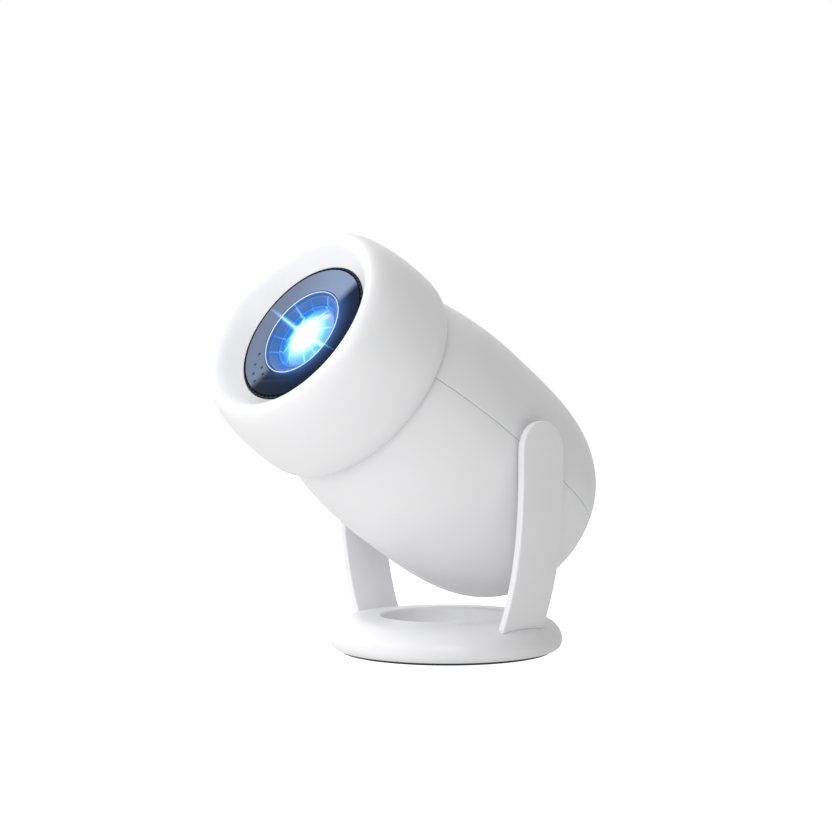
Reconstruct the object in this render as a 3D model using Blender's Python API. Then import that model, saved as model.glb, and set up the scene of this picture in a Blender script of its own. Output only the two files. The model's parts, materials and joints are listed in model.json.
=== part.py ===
"""Home projector: a tilting bell-fronted projector head held between two arms on a round base.

Metres, +Z up.  The origin is the middle of the underside, on the table.  The head points along -Y and up.
Head pieces are modelled in the head's own frame: +Z forward along the lens axis, +Y up, +X to the right arm.
Its origin is on the tilt axis.  A span is a pair of positions, lower or rear end first.
"""
import math

import bmesh
import bpy

MM = 0.001
GAP = 0.3 * MM
FULL_TURN = 2 * math.pi
OVERSHOOT = 1.0 * MM

# Sides of a turned piece, by its size
FINE = 40
MEDIUM = 28
COARSE = 18
SMALL = 12

# Tilt axis
TILT_AXIS_HEIGHT = 97.0 * MM
HEAD_ELEVATION = math.radians(31)

# Barrel: an egg whose widest ring lies a little in front of the tilt axis
BARREL_RADIUS = 58.2 * MM
BARREL_WIDEST = 11.1 * MM
BARREL_REAR_REACH = 89.0 * MM
BARREL_REAR_POWER = 3.5
BARREL_FRONT_REACH = 113.3 * MM
BARREL_FRONT = 70.3 * MM
BARREL_REAR = -71.6 * MM
SHELL_WALL = 2.2 * MM
SHELL_FLANGE = 2.5 * MM
NECK_RADIUS = 47.7 * MM
NECK_BORE = 45.6 * MM
NECK_FRONT = 76.0 * MM
HINGE_HOLE_RADIUS = 7.15 * MM

# Bell-shaped front ring
RING_REAR = 70.0 * MM
RING_WIDEST = 79.1 * MM
RING_FRONT = 117.6 * MM
RING_RADIUS = 56.0 * MM
RING_REAR_RADIUS = 52.6 * MM
RING_REAR_WALL = 1.6 * MM
RING_LIP_RADIUS = 46.5 * MM
RING_LIP_INNER = 44.1 * MM
RING_LIP_DROP = 0.9 * MM
RING_OPENING = 35.6 * MM
RING_OPENING_SPAN = (104.3 * MM, 108.1 * MM)
RING_FLANGE_SPAN = (79.6 * MM, 84.5 * MM)
RING_FLANGE_BORE = 41.0 * MM
RING_INNER_WALL = ((39.0 * MM, 103.8 * MM), (46.5 * MM, 100.3 * MM), (50.2 * MM, 95.5 * MM),
                   (51.4 * MM, 90.0 * MM), (51.4 * MM, 84.5 * MM))
MID_FRAME_SPAN = (76.3 * MM, 79.3 * MM)
MID_FRAME_RADIUS = 50.4 * MM
MID_FRAME_BORE = 24.2 * MM
RING_SCREW_CIRCLE = 43.3 * MM
RING_SCREW_ANGLES = (90, 210, 330)
RING_SCREW_HEAD = (1.9 * MM, (74.4 * MM, 76.0 * MM))
RING_SCREW_SHANK = (1.1 * MM, 82.8 * MM)
SCREW_HOLE_RADIUS = 1.4 * MM

# Lens holder, plate and light ring
HOLDER_BORE = 21.0 * MM
HOLDER_RADIUS = 23.8 * MM
HOLDER_SPAN = (62.0 * MM, 106.5 * MM)
HOLDER_REAR_FLANGE = (30.0 * MM, (79.6 * MM, 82.0 * MM))
HOLDER_FRONT_FLANGE = (31.0 * MM, 104.2 * MM)
PLATE_HOLE = 22.4 * MM
PLATE_RADIUS = 33.9 * MM
PLATE_SPAN = (106.8 * MM, 108.8 * MM)
VENT_RADIUS = 0.75 * MM
VENT_PLACES = ((25.5 * MM, 206), (27.9 * MM, 217), (29.9 * MM, 227), (31.0 * MM, 237),
               (24.8 * MM, 229), (26.0 * MM, 239))
LIGHT_RING_RADII = (21.15 * MM, 22.1 * MM)
LIGHT_RING_SPAN = (106.8 * MM, 109.3 * MM)

# Focus ring: a cup with a crown of teeth
FOCUS_RING_BORE = 34.2 * MM
FOCUS_RING_RADIUS = 35.3 * MM
FOCUS_RING_WEB = (94.8 * MM, 96.8 * MM)
FOCUS_RING_VALLEY = 107.8 * MM
FOCUS_RING_CROWN = 108.6 * MM
FOCUS_RING_TEETH = 30

# Sliding lens barrel
LENS_BARREL_RADIUS = 20.85 * MM
LENS_BARREL_SPAN = (66.0 * MM, 107.6 * MM)
LENS_HOOD_MOUTH = 19.9 * MM
LENS_HOOD_REAR = 105.2 * MM
LENS_SEAT_RADIUS = 17.2 * MM
LENS_SEAT = 100.6 * MM
LENS_BARREL_BORE = 14.6 * MM
REAR_LENS_BORE = 16.0 * MM
REAR_LENS_SEAT = 75.2 * MM
FRONT_LENS = (16.8 * MM, 100.9 * MM, 1.8 * MM, 4.3 * MM, 0.0)
REAR_LENS = (15.6 * MM, 70.0 * MM, 2.0 * MM, 2.4 * MM, 2.0 * MM)
RETAINER_BORE = 15.5 * MM
RETAINER_SPAN = (103.6 * MM, 105.0 * MM)

# Rear panel
PANEL_RADIUS = 36.8 * MM
PANEL_FRONT = -70.3 * MM
PANEL_SEAT = -70.0 * MM
PANEL_RIM = -72.3 * MM
PANEL_RIM_BORE = 31.8 * MM
PANEL_DOME = ((30.8 * MM, -73.6 * MM), (19.0 * MM, -75.1 * MM), (0.0, -75.8 * MM))
PANEL_HOLLOW = ((0.0, -73.8 * MM), (29.5 * MM, -71.8 * MM), (29.7 * MM, PANEL_FRONT))
PANEL_CUT_SPAN = (-80.0 * MM, -69.0 * MM)
PANEL_SCREW_CIRCLE = 34.3 * MM
PANEL_SCREW_HEAD = (2.1 * MM, (-73.8 * MM, -72.6 * MM))
PANEL_SCREW_SHANK = (1.1 * MM, -66.6 * MM)
SLOT_ROWS = 5
SLOT_FIRST_ROW = -4.0 * MM
SLOT_PITCH = 4.6 * MM
SLOT_HALF_HEIGHT = 0.9 * MM
SLOT_MIDDLE_RIB = 1.2 * MM
SLOT_FIELD_RADIUS = 27.0 * MM
HDMI_PLACE = (-12.0 * MM, -14.8 * MM)
HDMI_SIZE = (15.0 * MM, 6.4 * MM)
HDMI_MOUTH = 4.8 * MM
USB_PLACE = (10.5 * MM, -14.8 * MM)
USB_SIZE = (14.6 * MM, 6.8 * MM)
USB_MOUTH = 5.2 * MM
BOX_SOCKET_SPAN = (-74.8 * MM, -63.0 * MM)
DC_PLACE = (-10.0 * MM, -25.0 * MM)
DC_RADII = (2.9 * MM, 4.2 * MM)
AUDIO_PLACE = (9.0 * MM, -24.4 * MM)
AUDIO_RADII = (1.8 * MM, 3.4 * MM)
ROUND_SOCKET_SPAN = (-74.3 * MM, -63.0 * MM)
SOCKET_END_WALL = 2.0 * MM
BUTTON_PLACE = (0.0, 24.0 * MM)
BUTTON_RADIUS = 4.6 * MM
BUTTON_SPAN = (-76.4 * MM, -71.6 * MM)
BUTTON_CHAMFER = 0.5 * MM
WINDOW_PLACE = (-13.0 * MM, 22.5 * MM)
WINDOW_RADIUS = 2.6 * MM
WINDOW_SPAN = (-75.1 * MM, -72.0 * MM)
PORT_BOARD_LOW = (-20.0 * MM, -20.0 * MM, -71.2 * MM)
PORT_BOARD_HIGH = (20.0 * MM, -18.8 * MM, -60.0 * MM)

# Base
PAD_THICKNESS = 0.8 * MM
COVER_THICKNESS = 1.6 * MM
WEIGHT_THICKNESS = 3.0 * MM
WEIGHT_CENTRE_TOP = 5.4 * MM
BASE_RADIUS = 57.2 * MM
BASE_FOOT_RADIUS = 51.6 * MM
BASE_WIDEST = 6.0 * MM
BASE_HEIGHT = 17.6 * MM
BASE_CREST_RADIUS = 39.0 * MM
BASE_RECESS_RADIUS = 31.7 * MM
BASE_RECESS_ROUNDING = 2.0 * MM
BASE_RECESS_FLOOR = 8.0 * MM
BASE_POWER = 2.2
BASE_SKIRT = 1.0 * MM
BASE_CEILING = ((33.4 * MM, 6.0 * MM), (33.8 * MM, 13.0 * MM), (38.6 * MM, 15.2 * MM),
                (49.0 * MM, 13.0 * MM), (53.8 * MM, 8.8 * MM))

# Arms
ARM_WIDTH = 28.8 * MM
ARM_THICKNESS = 3.7 * MM
ARM_OUTER = 64.0 * MM
ARM_ROUND_HEIGHT = 98.3 * MM
ARM_TUCK = 13.5 * MM
ARM_TUCK_POWER = 2.67
ARM_TUCK_HEIGHT = 84.35 * MM
ARM_FOOT = 7.4 * MM
FOOT_TOP = 11.0 * MM
FOOT_INNER = 39.0 * MM
FOOT_HALF_WIDTH = 11.0 * MM
FOOT_SCREW_PLACE = 44.5 * MM
FOOT_SCREW_HEAD = (2.9 * MM, 1.3 * MM)
FOOT_SCREW_SHANK = (1.2 * MM, 9.9 * MM)
FOOT_SCREW_HOLE = (1.5 * MM, 10.2 * MM)
COVER_HOLE_RADIUS = 3.3 * MM
WEIGHT_HOLE_RADIUS = 1.8 * MM

# Tilt hinge, measured along the tilt axis from the middle plane
PIN_RADIUS = 4.5 * MM
PIN_BORE = 4.58 * MM
PIN_TIP = 46.0 * MM
PIN_FLANGE_RADIUS = 10.0 * MM
PIN_FLANGE_SPAN = (60.6 * MM, 61.9 * MM)
WASHER_RADII = (4.98 * MM, 8.4 * MM)
WASHER_SPAN = (59.9 * MM, 60.3 * MM)
BUSH_RADIUS = 6.9 * MM
BUSH_FLANGE_RADIUS = 9.0 * MM
BUSH_INNER = 51.0 * MM
BUSH_FLANGE_SPAN = (58.6 * MM, 59.6 * MM)
NUT_RADIUS = 8.4 * MM
NUT_BORE = 4.65 * MM
NUT_SPAN = (47.2 * MM, 50.7 * MM)

# Light engine, from the rear forward
HEAT_SINK_SIZE = (56.0 * MM, 56.0 * MM, 25.0 * MM)
HEAT_SINK_FRONT = -18.5 * MM
HEAT_SINK_PLATE = 5.0 * MM
HEAT_SINK_FINS = 10
HEAT_SINK_FIN = 1.4 * MM
LED_BOARD_HALF = 17.0 * MM
LED_BOARD_SPAN = (-18.2 * MM, -16.6 * MM)
LED_CHIP_HALF = 6.0 * MM
LED_CHIP_SPAN = (-16.3 * MM, -15.0 * MM)
COLLIMATOR = (19.0 * MM, -9.0 * MM, 2.0 * MM, 6.0 * MM, 0.0)
LAMP_HOUSING_SPAN = (-15.5 * MM, 20.5 * MM)
LAMP_HOUSING_SIZE = (66.0 * MM, 46.0 * MM)
FRESNEL_REAR_HALF = (31.0 * MM, 20.8 * MM)
FRESNEL_REAR_SPAN = (13.0 * MM, 15.0 * MM)
LCD_HALF = (33.0 * MM, 23.0 * MM)
LCD_SPAN = (22.0 * MM, 24.2 * MM)
FRONT_HOOD_SPAN = (25.7 * MM, 60.0 * MM)
FRONT_HOOD_MOUTH = (50.0 * MM, 40.0 * MM)
LIGHT_BOX_WALL = 1.8 * MM
FRESNEL_FRONT_HALF = (30.0 * MM, 19.8 * MM)
FRESNEL_FRONT_SPAN = (28.0 * MM, 30.0 * MM)

# Fan
FAN_SPAN = (-58.0 * MM, -47.0 * MM)
FAN_HALF = 30.0 * MM
FAN_BORE = 28.4 * MM
SPOKE_HALF_WIDTH = 1.5 * MM
SPOKE_REACH = 29.2 * MM
SPOKE_DEPTH = 1.8 * MM
SPOKE_STEP = 0.1 * MM
STATOR_RADIUS = 11.0 * MM
STATOR_DEPTH = 2.2 * MM
ROTOR_HUB_RADIUS = 12.0 * MM
ROTOR_REAR_GAP = 2.6 * MM
ROTOR_FRONT_GAP = 0.6 * MM
BLADES = 7
BLADE_ROOT = 10.5 * MM
BLADE_TIP = 27.4 * MM
BLADE_THICKNESS_TURN = 0.07
BLADE_PITCH_TURN = 0.55

# Boards and speaker
MAIN_BOARD_SPAN_Y = (36.0 * MM, 37.6 * MM)
MAIN_BOARD_HALF = 35.0 * MM
MAIN_BOARD_SPAN_Z = (-28.0 * MM, 36.0 * MM)
CHIP_SINK_SIZE = (28.0 * MM, 28.0 * MM, 8.0 * MM)
CHIP_SINK_PLATE = 2.0 * MM
CHIP_SINK_FINS = 8
CHIP_SINK_FIN = 1.2 * MM
RIBBON_HALF = 9.0 * MM
RIBBON_LOW = 23.4 * MM
RIBBON_SPAN = (22.8 * MM, 23.3 * MM)
SPEAKER_POSITION = 20.0 * MM
SPEAKER_FRAME = ((0.0, 28.0 * MM), (10.0 * MM, 28.0 * MM), (10.0 * MM, 35.0 * MM), (18.0 * MM, 42.5 * MM),
                 (18.0 * MM, 44.5 * MM), (16.5 * MM, 44.5 * MM), (16.5 * MM, 43.2 * MM),
                 (9.0 * MM, 36.2 * MM), (0.0, 36.2 * MM))
SPEAKER_CONE = ((0.0, 36.6 * MM), (8.2 * MM, 36.6 * MM), (16.1 * MM, 43.6 * MM), (16.1 * MM, 44.4 * MM),
                (15.2 * MM, 44.4 * MM), (7.6 * MM, 37.8 * MM), (0.0, 38.6 * MM))

# Colour, roughness, metallic
WHITE = ((0.86, 0.86, 0.87), 0.34, 0.0)
SOFT_WHITE = ((0.78, 0.78, 0.79), 0.45, 0.0)
BLACK = ((0.02, 0.02, 0.022), 0.45, 0.0)
GLOSS_BLACK = ((0.012, 0.016, 0.03), 0.08, 0.0)
RUBBER = ((0.05, 0.05, 0.052), 0.85, 0.0)
STEEL = ((0.55, 0.55, 0.56), 0.32, 1.0)
ALUMINIUM = ((0.72, 0.73, 0.75), 0.38, 1.0)
NYLON = ((0.80, 0.78, 0.70), 0.5, 0.0)
GLASS = ((0.62, 0.80, 0.95), 0.05, 0.0)
BOARD_GREEN = ((0.03, 0.20, 0.09), 0.5, 0.0)
GOLD_FILM = ((0.70, 0.45, 0.12), 0.4, 0.0)
PHOSPHOR = ((0.95, 0.80, 0.25), 0.6, 0.0)
RING_LIGHT = ((0.75, 0.90, 1.0), 0.25, 0.0)
PAPER = ((0.10, 0.10, 0.10), 0.9, 0.0)


def clear_scene():
    for old in list(bpy.data.objects):
        bpy.data.objects.remove(old, do_unlink=True)


def material(name, look):
    """One Principled material for one sub-part."""
    colour, roughness, metallic = look
    result = bpy.data.materials.new(name)
    result.use_nodes = True
    shader = result.node_tree.nodes["Principled BSDF"]
    shader.inputs["Base Color"].default_value = (*colour, 1.0)
    shader.inputs["Roughness"].default_value = roughness
    shader.inputs["Metallic"].default_value = metallic
    return result


def frame(name, parent=None, location=(0, 0, 0), rotation=(0, 0, 0)):
    """An empty that carries pieces."""
    empty = bpy.data.objects.new(name, None)
    bpy.context.collection.objects.link(empty)
    empty.parent = parent
    empty.location = location
    empty.rotation_euler = rotation
    return empty


def finish(name, mesh_edit, look, parent, location=(0, 0, 0), rotation=(0, 0, 0), sharp=30):
    """Turn a bmesh into a named, shaded object with its own material."""
    bmesh.ops.recalc_face_normals(mesh_edit, faces=mesh_edit.faces)
    mesh = bpy.data.meshes.new(name)
    mesh_edit.to_mesh(mesh)
    mesh_edit.free()
    mesh.shade_smooth()
    mesh.set_sharp_from_angle(angle=math.radians(sharp))
    piece = bpy.data.objects.new(name, mesh)
    bpy.context.collection.objects.link(piece)
    piece.parent = parent
    piece.location = location
    piece.rotation_euler = rotation
    if look:
        mesh.materials.append(material(name, look))
    return piece


def revolve_into(mesh_edit, profile, segments, sweep=FULL_TURN, centre=(0, 0)):
    """Turn a closed outline of (radius, height) points about the Z line through centre."""
    closed = abs(sweep - FULL_TURN) < 1e-9
    columns = segments if closed else segments + 1
    axis_points = {}
    rings = []
    for step in range(columns):
        angle = sweep * step / segments
        ring = []
        for index, (radius, height) in enumerate(profile):
            if radius == 0 and index in axis_points:
                ring.append(axis_points[index])
                continue
            corner = (centre[0] + radius * math.cos(angle), centre[1] + radius * math.sin(angle), height)
            vertex = mesh_edit.verts.new(corner)
            if radius == 0:
                axis_points[index] = vertex
            ring.append(vertex)
        rings.append(ring)
    for step in range(segments):
        this_ring = rings[step]
        next_ring = rings[(step + 1) % columns]
        for index in range(len(profile)):
            follower = (index + 1) % len(profile)
            corners = [this_ring[index], next_ring[index], next_ring[follower], this_ring[follower]]
            corners = list(dict.fromkeys(corners))
            if len(corners) > 2:
                mesh_edit.faces.new(corners)
    if not closed:
        mesh_edit.faces.new(rings[0])
        mesh_edit.faces.new(rings[-1])


def turned(name, profile, look, parent, segments=MEDIUM, location=(0, 0, 0), rotation=(0, 0, 0),
           sweep=FULL_TURN):
    mesh_edit = bmesh.new()
    revolve_into(mesh_edit, profile, segments, sweep)
    return finish(name, mesh_edit, look, parent, location, rotation)


def tube_profile(inner, outer, low, high):
    return [(inner, low), (outer, low), (outer, high), (inner, high)]


def rod_profile(radius, low, high):
    return [(0, low), (radius, low), (radius, high), (0, high)]


def screw_profile(head_radius, head_low, head_high, shank_radius, tip):
    """A plain screw: a flat head with its shank pointing up the axis."""
    return [(0, head_low), (head_radius, head_low), (head_radius, head_high), (shank_radius, head_high),
            (shank_radius, tip), (0, tip)]


def add_box(mesh_edit, low, high):
    """A closed box between two corners."""
    corners = [mesh_edit.verts.new((x, y, z)) for z in (low[2], high[2]) for y in (low[1], high[1])
               for x in (low[0], high[0])]
    for loop in ((0, 1, 3, 2), (4, 6, 7, 5), (0, 4, 5, 1), (2, 3, 7, 6), (0, 2, 6, 4), (1, 5, 7, 3)):
        mesh_edit.faces.new([corners[index] for index in loop])


def box(name, low, high, look, parent, location=(0, 0, 0), rotation=(0, 0, 0)):
    mesh_edit = bmesh.new()
    add_box(mesh_edit, low, high)
    return finish(name, mesh_edit, look, parent, location, rotation)


def prism(name, outline, low, high, look, parent, rotation=(0, 0, 0), location=(0, 0, 0)):
    """A flat outline of (x, y) points pulled along Z."""
    mesh_edit = bmesh.new()
    lower = [mesh_edit.verts.new((x, y, low)) for x, y in outline]
    upper = [mesh_edit.verts.new((x, y, high)) for x, y in outline]
    mesh_edit.faces.new(lower)
    mesh_edit.faces.new(upper)
    for index in range(len(outline)):
        follower = (index + 1) % len(outline)
        mesh_edit.faces.new([lower[index], lower[follower], upper[follower], upper[index]])
    return finish(name, mesh_edit, look, parent, location, rotation)


def boolean(piece, tool, operation="DIFFERENCE"):
    """Cut or join a hidden tool into a piece."""
    tool.hide_render = True
    tool.display_type = "WIRE"
    change = piece.modifiers.new(tool.name, "BOOLEAN")
    change.operation = operation
    change.solver = "EXACT"
    change.object = tool


def rod_tools(name, places, radius, low, high, parent, segments=SMALL):
    """One hidden tool made of several parallel rods."""
    mesh_edit = bmesh.new()
    for centre in places:
        revolve_into(mesh_edit, rod_profile(radius, low, high), segments, FULL_TURN, centre)
    return finish(name, mesh_edit, None, parent)


def on_circle(radius, degrees):
    angle = math.radians(degrees)
    return (radius * math.cos(angle), radius * math.sin(angle))


# ---------------------------------------------------------------- outlines

def barrel_rear_point(radius, reach, turn):
    """A point of the egg's rear, where turn runs from 0 at the widest ring to 90 degrees at the end."""
    power = 2 / BARREL_REAR_POWER
    return (radius * math.cos(turn) ** power, BARREL_WIDEST - reach * math.sin(turn) ** power)


def barrel_front_radius(position):
    return BARREL_RADIUS * math.sqrt(1 - ((position - BARREL_WIDEST) / BARREL_FRONT_REACH) ** 2)


def rear_turn(reach, position):
    """The turn at which the egg's rear passes a position on the lens axis."""
    return math.asin(((BARREL_WIDEST - position) / reach) ** (BARREL_REAR_POWER / 2))


def shell_profile():
    """Half shell section: skin, front neck, inner wall, rear flange and the rear panel's seat."""
    rear_steps = 9
    front_steps = 4
    inner_front_steps = 3
    inner_rear_steps = 5
    last = rear_turn(BARREL_REAR_REACH, BARREL_REAR)
    outline = []
    for step in range(rear_steps):
        outline.append(barrel_rear_point(BARREL_RADIUS, BARREL_REAR_REACH, last * (1 - step / rear_steps)))
    for step in range(front_steps + 1):
        position = BARREL_WIDEST + (BARREL_FRONT - BARREL_WIDEST) * step / front_steps
        outline.append((barrel_front_radius(position), position))
    outline += [(NECK_RADIUS, BARREL_FRONT), (NECK_RADIUS, NECK_FRONT), (NECK_BORE, NECK_FRONT)]
    outline.append((NECK_BORE, BARREL_FRONT - 1.4 * SHELL_WALL))
    inner_front = BARREL_FRONT - 3.6 * SHELL_WALL
    for step in range(inner_front_steps, 0, -1):
        position = BARREL_WIDEST + (inner_front - BARREL_WIDEST) * step / inner_front_steps
        outline.append((barrel_front_radius(position) - SHELL_WALL, position))
    flange_front = PANEL_SEAT + SHELL_FLANGE
    inner_reach = BARREL_REAR_REACH - SHELL_WALL
    last = rear_turn(inner_reach, flange_front)
    for step in range(inner_rear_steps + 1):
        turn = last * step / inner_rear_steps
        outline.append(barrel_rear_point(BARREL_RADIUS - SHELL_WALL, inner_reach, turn))
    outline += [(PANEL_RIM_BORE, flange_front), (PANEL_RIM_BORE, PANEL_SEAT)]
    outline += [(PANEL_RADIUS + GAP, PANEL_SEAT), (PANEL_RADIUS + GAP, BARREL_REAR)]
    return outline


def ring_profile():
    """Front ring section: bell skin, fat lip, funnel, opening, inner wall and screw flange."""
    rear_steps = 3
    front_steps = 7
    funnel_steps = 4
    rear_inner = RING_REAR_RADIUS - RING_REAR_WALL
    outline = [(rear_inner, RING_REAR)]
    rear_depth = RING_WIDEST - RING_REAR
    for step in range(rear_steps + 1):
        turn = math.pi / 2 * (1 - step / rear_steps)
        if step < rear_steps:
            radius = RING_REAR_RADIUS + (RING_RADIUS - RING_REAR_RADIUS) * math.cos(turn)
            outline.append((radius, RING_WIDEST - rear_depth * math.sin(turn)))
        else:
            outline.append((RING_RADIUS, RING_WIDEST))
    front_depth = RING_FRONT - RING_WIDEST
    for step in range(1, front_steps + 1):
        turn = math.pi / 2 * step / front_steps
        radius = RING_LIP_RADIUS + (RING_RADIUS - RING_LIP_RADIUS) * math.cos(turn)
        outline.append((radius, RING_WIDEST + front_depth * math.sin(turn)))
    funnel_front = RING_FRONT - RING_LIP_DROP
    funnel_width = RING_LIP_INNER - RING_OPENING
    funnel_depth = funnel_front - RING_OPENING_SPAN[1]
    for step in range(funnel_steps + 1):
        share = step / funnel_steps
        drop = math.sin(math.pi / 2 * share) * 0.45 + share * 0.55
        outline.append((RING_LIP_INNER - funnel_width * share, funnel_front - funnel_depth * drop))
    outline.append((RING_OPENING, RING_OPENING_SPAN[0]))
    outline += RING_INNER_WALL
    outline += [(RING_FLANGE_BORE, RING_FLANGE_SPAN[1]), (RING_FLANGE_BORE, RING_FLANGE_SPAN[0])]
    outline.append((rear_inner, RING_FLANGE_SPAN[0]))
    return outline


def base_profile():
    """Base shell section: rounded rim, domed top, recess wall and floor, and the hollow below."""
    dome_steps = 7
    rounding_steps = 4
    seat = PAD_THICKNESS + GAP
    outline = [(BASE_FOOT_RADIUS - BASE_SKIRT, seat), (BASE_FOOT_RADIUS + 1.6 * BASE_SKIRT, seat)]
    outline.append((BASE_RADIUS - 1.1 * BASE_SKIRT, seat + 2 * BASE_SKIRT))
    for step in range(dome_steps + 1):
        turn = math.pi / 2 * step / dome_steps
        across = math.cos(turn) ** (2 / BASE_POWER)
        upward = math.sin(turn) ** (2 / BASE_POWER)
        outline.append((BASE_CREST_RADIUS + (BASE_RADIUS - BASE_CREST_RADIUS) * across,
                        BASE_WIDEST + (BASE_HEIGHT - BASE_WIDEST) * upward))
    for step in range(rounding_steps + 1):
        turn = math.pi / 2 * step / rounding_steps
        outline.append((BASE_RECESS_RADIUS + BASE_RECESS_ROUNDING * (1 - math.sin(turn)),
                        BASE_HEIGHT - BASE_RECESS_ROUNDING * (1 - math.cos(turn))))
    floor = BASE_RECESS_FLOOR
    outline += [(BASE_RECESS_RADIUS, floor + BASE_SKIRT), (BASE_RECESS_RADIUS - BASE_SKIRT, floor)]
    outline.append((0, floor))
    outline.append((0, BASE_CEILING[0][1]))
    outline += BASE_CEILING
    outline.append((BASE_FOOT_RADIUS - BASE_SKIRT, seat + 2.4 * BASE_SKIRT))
    return outline


def comb_outline(width, plate, height, fins, fin_thickness):
    """A heat sink's end view: a plate along X with fins standing towards +Y."""
    pitch = (width - fin_thickness) / (fins - 1)
    outline = [(-width / 2, 0), (width / 2, 0)]
    for fin in range(fins - 1, -1, -1):
        left = -width / 2 + pitch * fin
        right = left + fin_thickness
        outline += [(right, plate), (right, height), (left, height), (left, plate)]
    outline = [point for index, point in enumerate(outline) if point != (width / 2, plate)]
    return [point for point in outline if point != (-width / 2, plate)]


# ---------------------------------------------------------------- base

def make_base(stand):
    """Pad, cover, weight and shell, with holes for the two foot screws and slots for the arms."""
    turned("base_pad", rod_profile(BASE_FOOT_RADIUS, 0, PAD_THICKNESS), RUBBER, stand, FINE)
    cover_low = PAD_THICKNESS + GAP
    cover_high = cover_low + COVER_THICKNESS
    cover_radius = BASE_FOOT_RADIUS - BASE_SKIRT - GAP
    cover = turned("base_cover", rod_profile(cover_radius, cover_low, cover_high), BLACK, stand, FINE)
    weight_low = cover_high + GAP
    weight_high = weight_low + WEIGHT_THICKNESS
    weight_radius = cover_radius - 3 * BASE_SKIRT
    step_radius = BASE_CEILING[1][0] + GAP
    weight_profile = [(0, weight_low), (weight_radius, weight_low), (weight_radius, weight_high),
                      (step_radius, weight_high), (step_radius, WEIGHT_CENTRE_TOP), (0, WEIGHT_CENTRE_TOP)]
    weight = turned("base_weight", weight_profile, STEEL, stand, FINE)
    shell = turned("base_shell", base_profile(), WHITE, stand, FINE)
    for side in (-1, 1):
        boolean(shell, arm_body("base_slot_tool", side, stand, GAP, None))
    places = [(-FOOT_SCREW_PLACE, 0), (FOOT_SCREW_PLACE, 0)]
    boolean(cover, rod_tools("cover_hole_tool", places, COVER_HOLE_RADIUS, cover_low - OVERSHOOT,
                             cover_high + OVERSHOOT, stand))
    boolean(weight, rod_tools("weight_hole_tool", places, WEIGHT_HOLE_RADIUS, weight_low - OVERSHOOT,
                              weight_high + OVERSHOOT, stand))


# ---------------------------------------------------------------- arms

def arm_outer(height):
    """Distance of the arm's outer face from the middle plane at a height."""
    below = max(0.0, TILT_AXIS_HEIGHT - height) / ARM_TUCK_HEIGHT
    return ARM_OUTER - ARM_TUCK * below ** ARM_TUCK_POWER


def arm_body(name, side, parent, grow, look):
    """The curved blade: straight sides, round top, tucked in towards the base."""
    mesh_edit = bmesh.new()
    half_width = ARM_WIDTH / 2 + grow
    bottom = ARM_FOOT - grow
    levels = []
    straight_steps = 10
    round_steps = 12
    for step in range(straight_steps):
        levels.append((bottom + (ARM_ROUND_HEIGHT - bottom) * step / straight_steps, half_width))
    for step in range(round_steps + 1):
        turn = math.radians(86 * step / round_steps)
        levels.append((ARM_ROUND_HEIGHT + half_width * math.sin(turn), half_width * math.cos(turn)))
    rows = []
    for height, reach in levels:
        outer = side * (arm_outer(height) + grow)
        inner = side * (arm_outer(height) - ARM_THICKNESS - grow)
        corners = ((outer, -reach), (outer, reach), (inner, reach), (inner, -reach))
        rows.append([mesh_edit.verts.new((x, y, height)) for x, y in corners])
    mesh_edit.faces.new(rows[0])
    mesh_edit.faces.new(rows[-1])
    for lower, upper in zip(rows, rows[1:]):
        for index in range(4):
            follower = (index + 1) % 4
            mesh_edit.faces.new([lower[index], lower[follower], upper[follower], upper[index]])
    return finish(name, mesh_edit, look, parent)


def make_arm(stand, word, side):
    """One arm with its screwed foot, its hinge pocket and its foot screw."""
    arm = arm_body(f"arm_{word}", side, stand, 0, WHITE)
    low_x, high_x = sorted((side * FOOT_INNER, side * (arm_outer(ARM_FOOT) - BASE_SKIRT)))
    foot = box(f"arm_foot_tool_{word}", (low_x, -FOOT_HALF_WIDTH, ARM_FOOT),
               (high_x, FOOT_HALF_WIDTH, FOOT_TOP), None, stand)
    boolean(arm, foot, "UNION")
    hole_radius, hole_top = FOOT_SCREW_HOLE
    hole = rod_tools(f"foot_hole_tool_{word}", [(side * FOOT_SCREW_PLACE, 0)], hole_radius,
                     ARM_FOOT - OVERSHOOT, hole_top, stand)
    boolean(arm, hole)
    pocket_profile = rod_profile(PIN_FLANGE_RADIUS + GAP, WASHER_SPAN[0], PIN_FLANGE_SPAN[1] + GAP)
    pocket = turned(f"pocket_tool_{word}", pocket_profile, None, stand, MEDIUM, (0, 0, TILT_AXIS_HEIGHT),
                    (0, side * math.pi / 2, 0))
    boolean(arm, pocket)
    head_radius, head_height = FOOT_SCREW_HEAD
    shank_radius, tip = FOOT_SCREW_SHANK
    seat = PAD_THICKNESS + GAP + COVER_THICKNESS
    screw = screw_profile(head_radius, seat - head_height, seat, shank_radius, tip)
    turned(f"arm_screw_{word}", screw, STEEL, stand, SMALL, (side * FOOT_SCREW_PLACE, 0, 0))


# ---------------------------------------------------------------- tilt hinge

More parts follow.
